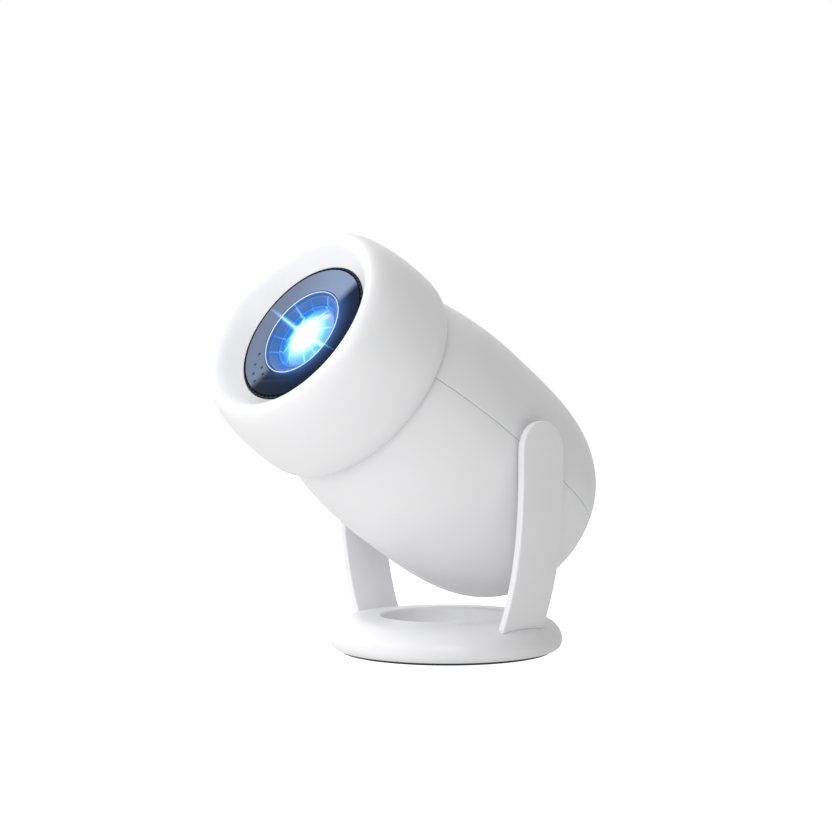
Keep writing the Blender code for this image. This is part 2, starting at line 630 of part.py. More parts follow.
def make_hinge(stand, head, word, side):
    """Pin, friction washer and nut on the arm; flanged bush in the barrel.  All lie on the tilt axis."""
    place = (0, 0, TILT_AXIS_HEIGHT)
    turn = (0, side * math.pi / 2, 0)
    flange_low, flange_high = PIN_FLANGE_SPAN
    pin = [(0, PIN_TIP), (PIN_RADIUS, PIN_TIP), (PIN_RADIUS, flange_low), (PIN_FLANGE_RADIUS, flange_low),
           (PIN_FLANGE_RADIUS, flange_high), (0, flange_high)]
    turned(f"hinge_pin_{word}", pin, STEEL, stand, MEDIUM, place, turn)
    washer = tube_profile(*WASHER_RADII, *WASHER_SPAN)
    turned(f"friction_washer_{word}", washer, STEEL, stand, MEDIUM, place, turn)
    flange_low, flange_high = BUSH_FLANGE_SPAN
    bush = [(PIN_BORE, BUSH_INNER), (BUSH_RADIUS, BUSH_INNER), (BUSH_RADIUS, flange_low),
            (BUSH_FLANGE_RADIUS, flange_low), (BUSH_FLANGE_RADIUS, flange_high), (PIN_BORE, flange_high)]
    turned(f"hinge_bush_{word}", bush, NYLON, head, MEDIUM, (0, 0, 0), turn)
    outline = [on_circle(NUT_RADIUS, 60 * index) for index in range(6)]
    nut = prism(f"hinge_nut_{word}", outline, *NUT_SPAN, STEEL, stand, turn, place)
    bore = rod_profile(NUT_BORE, NUT_SPAN[0] - OVERSHOOT, NUT_SPAN[1] + OVERSHOOT)
    boolean(nut, turned(f"nut_bore_tool_{word}", bore, None, stand, COARSE, place, turn))


# ---------------------------------------------------------------- casing of the head

def make_shells(head):
    """Upper and lower half shells, parted along the plane of the lens axis and the tilt axis."""
    hinge_rod = rod_profile(HINGE_HOLE_RADIUS, -1.2 * BARREL_RADIUS, 1.2 * BARREL_RADIUS)
    hinge_hole = turned("hinge_hole_tool", hinge_rod, None, head, COARSE, (0, 0, 0), (0, math.pi / 2, 0))
    profile = shell_profile()
    for name, turn, shift, holes in (("upper_shell", 0, 1, (90,)), ("lower_shell", math.pi, -1, (210, 330))):
        shell = turned(name, profile, WHITE, head, FINE // 2, (0, shift * GAP / 2, 0), (0, 0, turn), math.pi)
        boolean(shell, hinge_hole)
        places = [on_circle(PANEL_SCREW_CIRCLE, angle) for angle in holes]
        boolean(shell, rod_tools(f"{name}_hole_tool", places, SCREW_HOLE_RADIUS, PANEL_SEAT - OVERSHOOT,
                                 PANEL_SCREW_SHANK[1] + OVERSHOOT, head))


def make_front(head):
    """Bell ring, the frame behind it and the three screws that join them."""
    places = [on_circle(RING_SCREW_CIRCLE, angle) for angle in RING_SCREW_ANGLES]
    ring = turned("front_ring", ring_profile(), WHITE, head, FINE)
    head_radius, (head_rear, head_front) = RING_SCREW_HEAD
    shank_radius, tip = RING_SCREW_SHANK
    boolean(ring, rod_tools("ring_hole_tool", places, SCREW_HOLE_RADIUS, RING_FLANGE_SPAN[0] - OVERSHOOT,
                            tip + GAP, head))
    mid_profile = tube_profile(MID_FRAME_BORE, MID_FRAME_RADIUS, *MID_FRAME_SPAN)
    mid = turned("mid_frame", mid_profile, BLACK, head, FINE)
    boolean(mid, rod_tools("mid_hole_tool", places, SCREW_HOLE_RADIUS, MID_FRAME_SPAN[0] - OVERSHOOT,
                           MID_FRAME_SPAN[1] + OVERSHOOT, head))
    screw = screw_profile(head_radius, head_rear, head_front, shank_radius, tip)
    for number, (x, y) in enumerate(places, 1):
        turned(f"ring_screw_{number}", screw, STEEL, head, SMALL, (x, y, 0))


# ---------------------------------------------------------------- rear panel and its sockets

def make_panel(head):
    """Domed rear panel on a flat rim, pierced by vents, sockets, button, window and screws."""
    outline = [*PANEL_HOLLOW, (PANEL_RADIUS, PANEL_FRONT), (PANEL_RADIUS, PANEL_RIM + 0.5 * MM),
               (PANEL_RADIUS - 0.6 * MM, PANEL_RIM), (PANEL_RIM_BORE - GAP, PANEL_RIM), *PANEL_DOME]
    panel = turned("rear_panel", outline, SOFT_WHITE, head, MEDIUM)
    low, high = PANEL_CUT_SPAN
    mesh_edit = bmesh.new()
    for (x, y), (width, height) in ((HDMI_PLACE, HDMI_SIZE), (USB_PLACE, USB_SIZE)):
        half_x = width / 2 + GAP
        half_y = height / 2 + GAP
        add_box(mesh_edit, (x - half_x, y - half_y, low), (x + half_x, y + half_y, high))
    for row in range(SLOT_ROWS):
        middle = SLOT_FIRST_ROW + SLOT_PITCH * row
        half = math.sqrt(SLOT_FIELD_RADIUS ** 2 - (abs(middle) + SLOT_HALF_HEIGHT) ** 2)
        bottom = middle - SLOT_HALF_HEIGHT
        top = middle + SLOT_HALF_HEIGHT
        add_box(mesh_edit, (-half, bottom, low), (-SLOT_MIDDLE_RIB, top, high))
        add_box(mesh_edit, (SLOT_MIDDLE_RIB, bottom, low), (half, top, high))
    round_holes = [(DC_PLACE, DC_RADII[1] + GAP), (AUDIO_PLACE, AUDIO_RADII[1] + GAP),
                   (BUTTON_PLACE, BUTTON_RADIUS + GAP), (WINDOW_PLACE, WINDOW_RADIUS + GAP)]
    round_holes += [(on_circle(PANEL_SCREW_CIRCLE, angle), SCREW_HOLE_RADIUS) for angle in (90, 210, 330)]
    for place, radius in round_holes:
        revolve_into(mesh_edit, rod_profile(radius, low, high), SMALL, FULL_TURN, place)
    boolean(panel, finish("panel_tool", mesh_edit, None, head))


def make_rear(head):
    """Rear panel with its screws, sockets, port board, receiver window and power button."""
    make_panel(head)
    head_radius, (head_rear, head_front) = PANEL_SCREW_HEAD
    shank_radius, tip = PANEL_SCREW_SHANK
    screw = screw_profile(head_radius, head_rear, head_front, shank_radius, tip)
    for number, angle in enumerate((90, 210, 330), 1):
        turned(f"rear_screw_{number}", screw, STEEL, head, SMALL, (*on_circle(PANEL_SCREW_CIRCLE, angle), 0))
    box("port_board", PORT_BOARD_LOW, PORT_BOARD_HIGH, BOARD_GREEN, head)
    make_box_socket(head, "hdmi_socket", HDMI_PLACE, HDMI_SIZE, HDMI_MOUTH)
    make_box_socket(head, "usb_socket", USB_PLACE, USB_SIZE, USB_MOUTH)
    make_round_socket(head, "dc_socket", DC_PLACE, *DC_RADII)
    make_round_socket(head, "audio_socket", AUDIO_PLACE, *AUDIO_RADII)
    window = rod_profile(WINDOW_RADIUS, *WINDOW_SPAN)
    turned("ir_window", window, GLOSS_BLACK, head, SMALL, (*WINDOW_PLACE, 0))
    rear, front = BUTTON_SPAN
    cap = [(0, rear), (BUTTON_RADIUS - BUTTON_CHAMFER, rear), (BUTTON_RADIUS, rear + BUTTON_CHAMFER),
           (BUTTON_RADIUS, front), (0, front)]
    turned("power_button", cap, SOFT_WHITE, frame("power_button_axis", head, (*BUTTON_PLACE, 0)), COARSE)


def make_box_socket(head, name, place, size, mouth):
    """A rectangular socket: a metal box open at the rear."""
    x, y = place
    half_x = size[0] / 2
    half_y = size[1] / 2
    mouth_y = mouth / 2
    mouth_x = half_x - (half_y - mouth_y)
    rear, front = BOX_SOCKET_SPAN
    socket = box(name, (x - half_x, y - half_y, rear), (x + half_x, y + half_y, front), STEEL, head)
    hollow = box(f"{name}_tool", (x - mouth_x, y - mouth_y, rear - OVERSHOOT),
                 (x + mouth_x, y + mouth_y, front - SOCKET_END_WALL), None, head)
    boolean(socket, hollow)


def make_round_socket(head, name, place, mouth, radius):
    """A round jack: a blind tube open at the rear."""
    rear, front = ROUND_SOCKET_SPAN
    floor = front - SOCKET_END_WALL
    outline = [(mouth, rear), (radius, rear), (radius, front), (0, front), (0, floor), (mouth, floor)]
    turned(name, outline, BLACK, head, COARSE, (*place, 0))


# ---------------------------------------------------------------- lens group

def make_lens_group(head):
    """Fixed holder, plate and light ring; turning focus ring; sliding lens barrel."""
    holder_rear, holder_front = HOLDER_SPAN
    rear_flange, (flange_rear, flange_front) = HOLDER_REAR_FLANGE
    front_flange, step = HOLDER_FRONT_FLANGE
    holder = [(HOLDER_BORE, holder_rear), (HOLDER_RADIUS, holder_rear), (HOLDER_RADIUS, flange_rear),
              (rear_flange, flange_rear), (rear_flange, flange_front), (HOLDER_RADIUS, flange_front),
              (HOLDER_RADIUS, step), (front_flange, step), (front_flange, holder_front),
              (HOLDER_BORE, holder_front)]
    turned("lens_holder", holder, BLACK, head, MEDIUM)
    plate_profile = tube_profile(PLATE_HOLE, PLATE_RADIUS, *PLATE_SPAN)
    plate = turned("lens_plate", plate_profile, GLOSS_BLACK, head, FINE)
    vents = [on_circle(radius, angle) for radius, angle in VENT_PLACES]
    boolean(plate, rod_tools("plate_vent_tool", vents, VENT_RADIUS, PLATE_SPAN[0] - OVERSHOOT,
                             PLATE_SPAN[1] + OVERSHOOT, head, 8))
    turned("light_ring", tube_profile(*LIGHT_RING_RADII, *LIGHT_RING_SPAN), RING_LIGHT, head, FINE)
    make_focus_ring(frame("focus_axis", head))
    make_lens_barrel(frame("lens_slide_axis", head))


def make_lens_barrel(slide):
    """Barrel with a flared hood, its front and rear lenses and the ring that retains the front one."""
    rear, front = LENS_BARREL_SPAN
    barrel = [(LENS_HOOD_MOUTH, front), (LENS_SEAT_RADIUS, LENS_HOOD_REAR), (LENS_SEAT_RADIUS, LENS_SEAT),
              (LENS_BARREL_BORE, LENS_SEAT), (LENS_BARREL_BORE, REAR_LENS_SEAT),
              (REAR_LENS_BORE, REAR_LENS_SEAT), (REAR_LENS_BORE, rear), (LENS_BARREL_RADIUS, rear),
              (LENS_BARREL_RADIUS, front)]
    turned("lens_barrel", barrel, BLACK, slide, MEDIUM)
    turned("front_lens", lens_outline(*FRONT_LENS), GLASS, slide, MEDIUM)
    turned("lens_retainer", tube_profile(RETAINER_BORE, FRONT_LENS[0], *RETAINER_SPAN), BLACK, slide, MEDIUM)
    turned("rear_lens", lens_outline(*REAR_LENS), GLASS, slide, COARSE)


def lens_outline(radius, edge_rear, edge, front_dome, rear_dome):
    """A lens section: an edge land with a domed front and a domed or flat rear."""
    steps = 4
    outline = []
    for step in range(steps + 1):
        share = step / steps
        outline.append((radius * share, edge_rear - rear_dome * (1 - share * share)))
    for step in range(steps, -1, -1):
        share = step / steps
        outline.append((radius * share, edge_rear + edge + front_dome * (1 - share * share)))
    if rear_dome == 0:
        outline = [outline[0]] + outline[steps:]
    return outline


def make_focus_ring(parent):
    """A cup with a crown of square teeth on its front edge."""
    web_rear, web_front = FOCUS_RING_WEB
    hub = HOLDER_RADIUS + GAP
    section = ((hub, web_rear), (FOCUS_RING_RADIUS, web_rear), (FOCUS_RING_RADIUS, FOCUS_RING_VALLEY),
               (FOCUS_RING_RADIUS, FOCUS_RING_CROWN), (FOCUS_RING_BORE, FOCUS_RING_CROWN),
               (FOCUS_RING_BORE, FOCUS_RING_VALLEY), (FOCUS_RING_BORE, web_front), (hub, web_front))
    mesh_edit = bmesh.new()
    count = FOCUS_RING_TEETH * 2
    columns = []
    for step in range(count):
        angle = FULL_TURN * step / count
        across = math.cos(angle)
        upward = math.sin(angle)
        columns.append([mesh_edit.verts.new((r * across, r * upward, z)) for r, z in section])
    for step in range(count):
        here = columns[step]
        there = columns[(step + 1) % count]
        for first, second in ((0, 1), (6, 7), (7, 0)):
            mesh_edit.faces.new([here[first], there[first], there[second], here[second]])
        if step % 2 == 0:
            mesh_edit.faces.new([here[1], there[1], there[2], there[3], here[3], here[2]])
            mesh_edit.faces.new([here[3], there[3], there[4], here[4]])
            mesh_edit.faces.new([here[4], there[4], there[5], there[6], here[6], here[5]])
            mesh_edit.faces.new([here[2], here[3], here[4], here[5]])
            mesh_edit.faces.new([there[2], there[3], there[4], there[5]])
        else:
            mesh_edit.faces.new([here[1], there[1], there[2], here[2]])
            mesh_edit.faces.new([here[2], there[2], there[5], here[5]])
            mesh_edit.faces.new([here[5], there[5], there[6], here[6]])
    finish("focus_ring", mesh_edit, BLACK, parent)


# ---------------------------------------------------------------- light engine

def square_tube(name, rear, rear_size, front, front_size, look, parent):
    """A straight or tapering rectangular tube, open at both ends."""
    mesh_edit = bmesh.new()
    loops = []
    wall = LIGHT_BOX_WALL
    for position, size, inset in ((rear, rear_size, 0), (front, front_size, 0), (front, front_size, wall),
                                  (rear, rear_size, wall)):
        half_x = size[0] / 2 - inset
        half_y = size[1] / 2 - inset
        corners = ((-half_x, -half_y), (half_x, -half_y), (half_x, half_y), (-half_x, half_y))
        loops.append([mesh_edit.verts.new((x, y, position)) for x, y in corners])
    for index in range(4):
        here = loops[index]
        there = loops[(index + 1) % 4]
        for corner in range(4):
            follower = (corner + 1) % 4
            mesh_edit.faces.new([here[corner], here[follower], there[follower], there[corner]])
    return finish(name, mesh_edit, look, parent)


def flat_piece(name, half, span, look, parent):
    """A box centred on the lens axis, from its half width, half height and span along the axis."""
    return box(name, (-half[0], -half[1], span[0]), (half[0], half[1], span[1]), look, parent)


def make_light_engine(head):
    """From the rear: heat sink, LED board, LED, collimator, Fresnel lens, LCD, Fresnel lens and hood."""
    width, length, height = HEAT_SINK_SIZE
    comb = comb_outline(width, HEAT_SINK_PLATE, height, HEAT_SINK_FINS, HEAT_SINK_FIN)
    outline = [(x, y - HEAT_SINK_FRONT) for x, y in comb]
    prism("led_heat_sink", outline, -length / 2, length / 2, ALUMINIUM, head, (-math.pi / 2, 0, 0))
    flat_piece("led_board", (LED_BOARD_HALF, LED_BOARD_HALF), LED_BOARD_SPAN, ALUMINIUM, head)
    flat_piece("led_chip", (LED_CHIP_HALF, LED_CHIP_HALF), LED_CHIP_SPAN, PHOSPHOR, head)
    turned("collimator_lens", lens_outline(*COLLIMATOR), GLASS, head, COARSE)
    rear, front = LAMP_HOUSING_SPAN
    square_tube("lamp_housing", rear, LAMP_HOUSING_SIZE, front, LAMP_HOUSING_SIZE, BLACK, head)
    flat_piece("fresnel_rear", FRESNEL_REAR_HALF, FRESNEL_REAR_SPAN, GLASS, head)
    flat_piece("lcd_panel", LCD_HALF, LCD_SPAN, GLOSS_BLACK, head)
    rear, front = FRONT_HOOD_SPAN
    square_tube("front_hood", rear, LAMP_HOUSING_SIZE, front, FRONT_HOOD_MOUTH, BLACK, head)
    flat_piece("fresnel_front", FRESNEL_FRONT_HALF, FRESNEL_FRONT_SPAN, GLASS, head)


# ---------------------------------------------------------------- fan

def make_fan(head):
    """Square frame with a four-spoke stator; rotor with pitched blades on its own axis."""
    rear, front = FAN_SPAN
    fan = flat_piece("fan_frame", (FAN_HALF, FAN_HALF), FAN_SPAN, BLACK, head)
    boolean(fan, rod_tools("fan_bore_tool", [(0, 0)], FAN_BORE, rear - OVERSHOOT, front + OVERSHOOT, head,
                           MEDIUM))
    across = (SPOKE_REACH, SPOKE_HALF_WIDTH)
    boolean(fan, flat_piece("fan_spoke_tool", across, (rear, rear + SPOKE_DEPTH), None, head), "UNION")
    upright = (SPOKE_HALF_WIDTH, SPOKE_REACH)
    cross_span = (rear + SPOKE_STEP, rear + SPOKE_DEPTH - SPOKE_STEP)
    boolean(fan, flat_piece("fan_cross_tool", upright, cross_span, None, head), "UNION")
    stator_low = rear + 2 * SPOKE_STEP
    boolean(fan, rod_tools("fan_stator_tool", [(0, 0)], STATOR_RADIUS, stator_low, rear + STATOR_DEPTH, head,
                           COARSE), "UNION")
    spin = frame("fan_axis", head)
    hub_low = rear + ROTOR_REAR_GAP
    hub_high = front - ROTOR_FRONT_GAP
    rotor = turned("fan_rotor", rod_profile(ROTOR_HUB_RADIUS, hub_low, hub_high), BLACK, spin, 3 * BLADES)
    mesh_edit = bmesh.new()
    for blade in range(BLADES):
        add_blade(mesh_edit, FULL_TURN * blade / BLADES, hub_low + OVERSHOOT, hub_high - OVERSHOOT)
    boolean(rotor, finish("fan_blade_tool", mesh_edit, None, spin), "UNION")


def add_blade(mesh_edit, start, low, high):
    """One pitched blade from inside the hub to the tip."""
    section = ((low, start), (low, start + BLADE_THICKNESS_TURN),
               (high, start + BLADE_PITCH_TURN + BLADE_THICKNESS_TURN), (high, start + BLADE_PITCH_TURN))
    corners = []
    for radius in (BLADE_ROOT, BLADE_TIP):
        for height, angle in section:
            corners.append(mesh_edit.verts.new((radius * math.cos(angle), radius * math.sin(angle), height)))
    for loop in ((0, 1, 2, 3), (4, 7, 6, 5), (0, 4, 5, 1), (1, 5, 6, 2), (2, 6, 7, 3), (3, 7, 4, 0)):
        mesh_edit.faces.new([corners[index] for index in loop])


# ---------------------------------------------------------------- boards and speaker

def make_electronics(head):
    """Main board over the light box with its heat sink and the LCD's ribbon; speaker below."""
    board_low, board_high = MAIN_BOARD_SPAN_Y
    board_rear, board_front = MAIN_BOARD_SPAN_Z
    box("main_board", (-MAIN_BOARD_HALF, board_low, board_rear), (MAIN_BOARD_HALF, board_high, board_front),
        BOARD_GREEN, head)
    width, length, height = CHIP_SINK_SIZE
    comb = comb_outline(width, CHIP_SINK_PLATE, height, CHIP_SINK_FINS, CHIP_SINK_FIN)
    outline = [(x, y + board_high + GAP) for x, y in comb]
    prism("soc_heat_sink", outline, -length / 2, length / 2, ALUMINIUM, head)
    ribbon_rear, ribbon_front = RIBBON_SPAN
    box("lcd_ribbon", (-RIBBON_HALF, RIBBON_LOW, ribbon_rear), (RIBBON_HALF, board_low - GAP, ribbon_front),
        GOLD_FILM, head)
    place = (0, 0, SPEAKER_POSITION)
    down = (math.pi / 2, 0, 0)
    turned("speaker_frame", SPEAKER_FRAME, BLACK, head, COARSE, place, down)
    turned("speaker_cone", SPEAKER_CONE, PAPER, head, COARSE, place, down)


def build():
    clear_scene()
    stand = frame("stand")
    head = frame("head_axis", None, (0, 0, TILT_AXIS_HEIGHT), (math.pi / 2 - HEAD_ELEVATION, 0, 0))
    make_base(stand)
    for word, side in (("left", -1), ("right", 1)):
        make_arm(stand, word, side)
        make_hinge(stand, head, word, side)
    make_shells(head)
    make_front(head)
    make_rear(head)
    make_lens_group(head)
    make_light_engine(head)
    make_fan(head)
    make_electronics(head)


build()
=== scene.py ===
"""Looks of the home projector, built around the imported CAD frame."""
import json
import math

import bmesh
import bpy
import numpy as np
from mathutils import Matrix, Vector


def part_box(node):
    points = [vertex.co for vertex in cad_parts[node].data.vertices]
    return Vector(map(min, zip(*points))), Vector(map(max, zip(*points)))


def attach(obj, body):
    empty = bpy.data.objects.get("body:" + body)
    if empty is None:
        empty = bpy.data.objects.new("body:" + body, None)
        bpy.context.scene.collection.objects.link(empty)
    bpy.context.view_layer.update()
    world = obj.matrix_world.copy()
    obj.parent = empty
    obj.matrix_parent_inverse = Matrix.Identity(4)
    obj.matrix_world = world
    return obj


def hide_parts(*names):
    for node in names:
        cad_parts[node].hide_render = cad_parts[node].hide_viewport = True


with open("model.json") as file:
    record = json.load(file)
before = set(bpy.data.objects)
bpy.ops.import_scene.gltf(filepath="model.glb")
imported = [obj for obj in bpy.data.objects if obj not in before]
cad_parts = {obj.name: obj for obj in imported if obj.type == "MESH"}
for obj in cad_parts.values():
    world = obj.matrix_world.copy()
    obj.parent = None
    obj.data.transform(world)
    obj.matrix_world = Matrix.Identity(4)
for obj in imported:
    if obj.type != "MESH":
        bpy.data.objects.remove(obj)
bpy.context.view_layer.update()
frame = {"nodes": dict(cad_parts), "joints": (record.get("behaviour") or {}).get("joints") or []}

MM = 0.001
GAP = 0.3 * MM
FULL_TURN = 2 * math.pi
SHARP_DEGREES = 38
PLATE_SHARP_DEGREES = 50
HAIR_EDGE = 0.1 * MM
SMALL_EDGE = 0.2 * MM
EDGE = 0.3 * MM

# ---- what the frame says

joints = {joint["name"]: joint for joint in frame["joints"]}
TILT_POINT = Vector(joints["head_tilt"]["pos_m"])
LENS_AXIS = Vector(joints["focus_turn"]["axis"]).normalized()
SIDE_AXIS = Vector((1, 0, 0))
HEAD = Matrix((SIDE_AXIS, LENS_AXIS.cross(SIDE_AXIS), LENS_AXIS)).transposed().to_4x4()
HEAD.translation = TILT_POINT
HEAD_INVERSE = HEAD.inverted()
STAND = Matrix.Identity(4)


def span(node, into=HEAD_INVERSE):
    """Lowest and highest corner, least and greatest radius of a CAD node, seen through a matrix."""
    points = np.array([into @ vertex.co for vertex in frame["nodes"][node].data.vertices])
    radii = np.hypot(points[:, 0], points[:, 1])
    return Vector(points.min(0)), Vector(points.max(0)), radii.min(), radii.max()


def round_place(node):
    """Lowest and highest corner, radius and place of a round part of the rear panel, on its own axis."""
    low, high, _, _ = span(node)
    centre = (low + high) / 2
    return low, high, (high.x - low.x) / 2, HEAD @ Matrix.Translation((centre.x, centre.y, 0))


def quarter_turns(steps):
    return [math.pi / 2 * step / steps for step in range(steps + 1)]


def on_circle(radius, degrees):
    angle = math.radians(degrees)
    return (radius * math.cos(angle), radius * math.sin(angle))


# ---- node materials

def shader_of(name, colour, roughness, metallic=0.0):
    """A new material; uniform values go straight on its Principled sockets."""
    result = bpy.data.materials.new(name)
    result.use_nodes = True
    shader = result.node_tree.nodes["Principled BSDF"]
    shader.inputs["Base Color"].default_value = (*colour, 1)
    shader.inputs["Roughness"].default_value = roughness
    shader.inputs["Metallic"].default_value = metallic
    return result, result.node_tree, shader


def put(tree, socket, value):
    if isinstance(value, bpy.types.NodeSocket):
        tree.links.new(value, socket)
    else:
        socket.default_value = value


def add(tree, kind, values=(), **settings):
    """Add a node, set its properties and feed its inputs by index or name."""
    made = tree.nodes.new(kind)
    for key, value in settings.items():
        setattr(made, key, value)
    for key, value in dict(values).items():
        put(tree, made.inputs[key], value)
    return made


def math_node(tree, operation, first, second=0.0, clamp=False):
    return add(tree, "ShaderNodeMath", {0: first, 1: second}, operation=operation, use_clamp=clamp).outputs[0]


def object_point(tree, scale=None):
    point = add(tree, "ShaderNodeTexCoord").outputs["Object"]
    if scale:
        point = add(tree, "ShaderNodeMapping", {"Vector": point, "Scale": scale}).outputs[0]
    return point


def noise(tree, scale, detail=2.0, point=None):
    values = {"Vector": point or object_point(tree), "Scale": scale, "Detail": detail}
    return add(tree, "ShaderNodeTexNoise", values).outputs["Fac"]


def dot(tree, vector, direction):
    made = add(tree, "ShaderNodeVectorMath", {0: vector, 1: direction}, operation="DOT_PRODUCT")
    return made.outputs["Value"]


def ramp(tree, factor, stops):
    """Colour ramp through (position, colour) stops."""
    made = add(tree, "ShaderNodeValToRGB", {"Fac": factor})
    band = made.color_ramp
    while len(band.elements) < len(stops):
        band.elements.new(0.5)
    for element, (position, colour) in zip(band.elements, stops):
        element.position = position
        element.color = (*colour, 1)
    return made.outputs["Color"]


def span_to(tree, value, low, high, out_low=0.0, out_high=1.0, smooth=True):
    values = {"Value": value, "From Min": low, "From Max": high, "To Min": out_low, "To Max": out_high}
    kind = "SMOOTHSTEP" if smooth else "LINEAR"
    return add(tree, "ShaderNodeMapRange", values, interpolation_type=kind).outputs["Result"]


def bump(tree, shader, height, strength, distance):
    made = add(tree, "ShaderNodeBump", {"Strength": strength, "Distance": distance, "Height": height})
    tree.links.new(made.outputs["Normal"], shader.inputs["Normal"])


def shade(colour, factor):
    return tuple(min(1.0, channel * factor) for channel in colour)


def moulded(name, colour, roughness, grain_scale=2600.0, grain=0.05, coat=0.0, mottle=0.02):
    """Injection-moulded plastic: faint mottling, uneven gloss and a fine spark-eroded grain."""
    result, tree, shader = shader_of(name, colour, roughness)
    wide = noise(tree, 22.0, 3.0)
    tree.links.new(ramp(tree, wide, [(0.3, shade(colour, 1 - mottle)), (0.7, shade(colour, 1 + mottle))]),
                   shader.inputs["Base Color"])
    gloss = span_to(tree, noise(tree, 90.0, 4.0), 0.3, 0.7, roughness - 0.04, roughness + 0.05)
    tree.links.new(gloss, shader.inputs["Roughness"])
    bump(tree, shader, noise(tree, grain_scale, 2.0), grain, 0.05 * MM)
    shader.inputs["Coat Weight"].default_value = coat
    shader.inputs["Coat Roughness"].default_value = 0.25
    return result


def brushed(name, colour, roughness):
    """Turned or brushed metal: fine streaks drawn out along one axis."""
    result, tree, shader = shader_of(name, colour, roughness, 1.0)
    streaks = noise(tree, 1500.0, 3.0, object_point(tree, (1, 1, 40)))
    tree.links.new(ramp(tree, streaks, [(0.25, shade(colour, 0.86)), (0.75, shade(colour, 1.08))]),
                   shader.inputs["Base Color"])
    gloss = span_to(tree, streaks, 0.2, 0.8, roughness - 0.07, roughness + 0.1)
    tree.links.new(gloss, shader.inputs["Roughness"])
    bump(tree, shader, streaks, 0.12, 0.03 * MM)
    shader.inputs["Anisotropic"].default_value = 0.35
    return result


def rubber(name):
    result, tree, shader = shader_of(name, (0.035, 0.035, 0.037), 0.8)
    speckle = noise(tree, 1400.0, 4.0)
    tree.links.new(ramp(tree, speckle, [(0.3, (0.022, 0.022, 0.024)), (0.75, (0.055, 0.055, 0.058))]),
                   shader.inputs["Base Color"])
    tree.links.new(span_to(tree, noise(tree, 200.0), 0.3, 0.7, 0.72, 0.9), shader.inputs["Roughness"])
    bump(tree, shader, speckle, 0.35, 0.1 * MM)
    return result


def circuit(name, colour):
    """Solder mask with faint copper tracks showing through."""
    result, tree, shader = shader_of(name, colour, 0.35)
    values = {"Vector": object_point(tree), "Scale": 160.0, "Mortar Size": 0.018, "Color1": (*colour, 1),
              "Color2": (*shade(colour, 0.8), 1), "Mortar": (*shade(colour, 1.7), 1)}
    cells = add(tree, "ShaderNodeTexBrick", values)
    tree.links.new(cells.outputs["Color"], shader.inputs["Base Color"])
    bump(tree, shader, cells.outputs["Fac"], 0.3, 0.05 * MM)
    shader.inputs["Coat Weight"].default_value = 0.4
    shader.inputs["Coat Roughness"].default_value = 0.2
    return result


# ---- painted light from the lens: glow and glare emitted by the lens and the surfaces round it, none of them a lamp

CORE = (1.0, 1.0, 1.0)
CORE_RADIUS = 6.8 * MM
# Distance from the lens axis and the colour of the painted glow of the beam there
PAINTED_BEAM_GLOW = ((0.0, CORE), (CORE_RADIUS, CORE), (9.2 * MM, (0.42, 0.85, 1.0)), (12 * MM, (0.08, 0.46, 1.0)),
        (15 * MM, (0.03, 0.21, 0.72)), (18 * MM, (0.02, 0.13, 0.47)), (21 * MM, (0.035, 0.14, 0.40)),
        (24 * MM, (0.03, 0.10, 0.28)))
# Direction in degrees, reach, half width at the axis and brightness of each painted streak of glare
PAINTED_RAYS = ((155, 42 * MM, 3.6 * MM, 1.0), (339, 36 * MM, 3.2 * MM, 0.9), (133, 30 * MM, 2.6 * MM, 0.75),
        (73, 29 * MM, 2.6 * MM, 0.7), (209, 27 * MM, 2.4 * MM, 0.6), (292, 26 * MM, 2.2 * MM, 0.55),
        (20, 26 * MM, 2.0 * MM, 0.5), (182, 27 * MM, 2.0 * MM, 0.5), (240, 25 * MM, 2.0 * MM, 0.45),
        (108, 25 * MM, 1.8 * MM, 0.4), (318, 25 * MM, 1.8 * MM, 0.4))
RAY_TIP = 0.01 * MM
RAY_SOFTNESS = 1.8
PAINTED_RAY_COLOURS = ((0.0, (0, 0, 0)), (0.4, (0.04, 0.30, 0.80)), (1.0, (0.65, 0.90, 1.0)))


def lens_place(tree):
    """Place in the head's axes, distance from the lens axis, and direction round it as a unit vector."""
    point = object_point(tree)
    flat = add(tree, "ShaderNodeVectorMath", {0: point, 1: (1, 1, 0)}, operation="MULTIPLY").outputs[0]
    distance = add(tree, "ShaderNodeVectorMath", {0: flat}, operation="LENGTH").outputs["Value"]
    direction = add(tree, "ShaderNodeVectorMath", {0: flat}, operation="NORMALIZE").outputs[0]
    return point, distance, direction


def painted_ray_strength(tree, point, distance):
    """Painted streaks of glare that leave the lens at fixed angles and narrow to a point."""
    total = 0.0
    for degrees, reach, width, weight in PAINTED_RAYS:
        x, y = on_circle(1.0, degrees)
        aside = math_node(tree, "ABSOLUTE", dot(tree, point, (-y, x, 0)))
        room = span_to(tree, distance, 0.0, reach, width, RAY_TIP, False)
        share = math_node(tree, "DIVIDE", aside, room)
        core = math_node(tree, "POWER", math_node(tree, "SUBTRACT", 1.0, share, True), RAY_SOFTNESS)
        ahead = span_to(tree, dot(tree, point, (x, y, 0)), 0.0, 2 * MM, 0.0, weight)
        fade = span_to(tree, distance, 0.45 * reach, 0.95 * reach, 1.0, 0.0)
        faded = math_node(tree, "MULTIPLY", ahead, fade)
        total = math_node(tree, "ADD", math_node(tree, "MULTIPLY", core, faded), total)
    return total


def mixed(tree, kind, factor, first, second):
    made = add(tree, "ShaderNodeMix", {0: factor}, data_type="RGBA", blend_type=kind)
    put(tree, made.inputs[6], first)
    put(tree, made.inputs[7], second)
    return made.outputs[2]


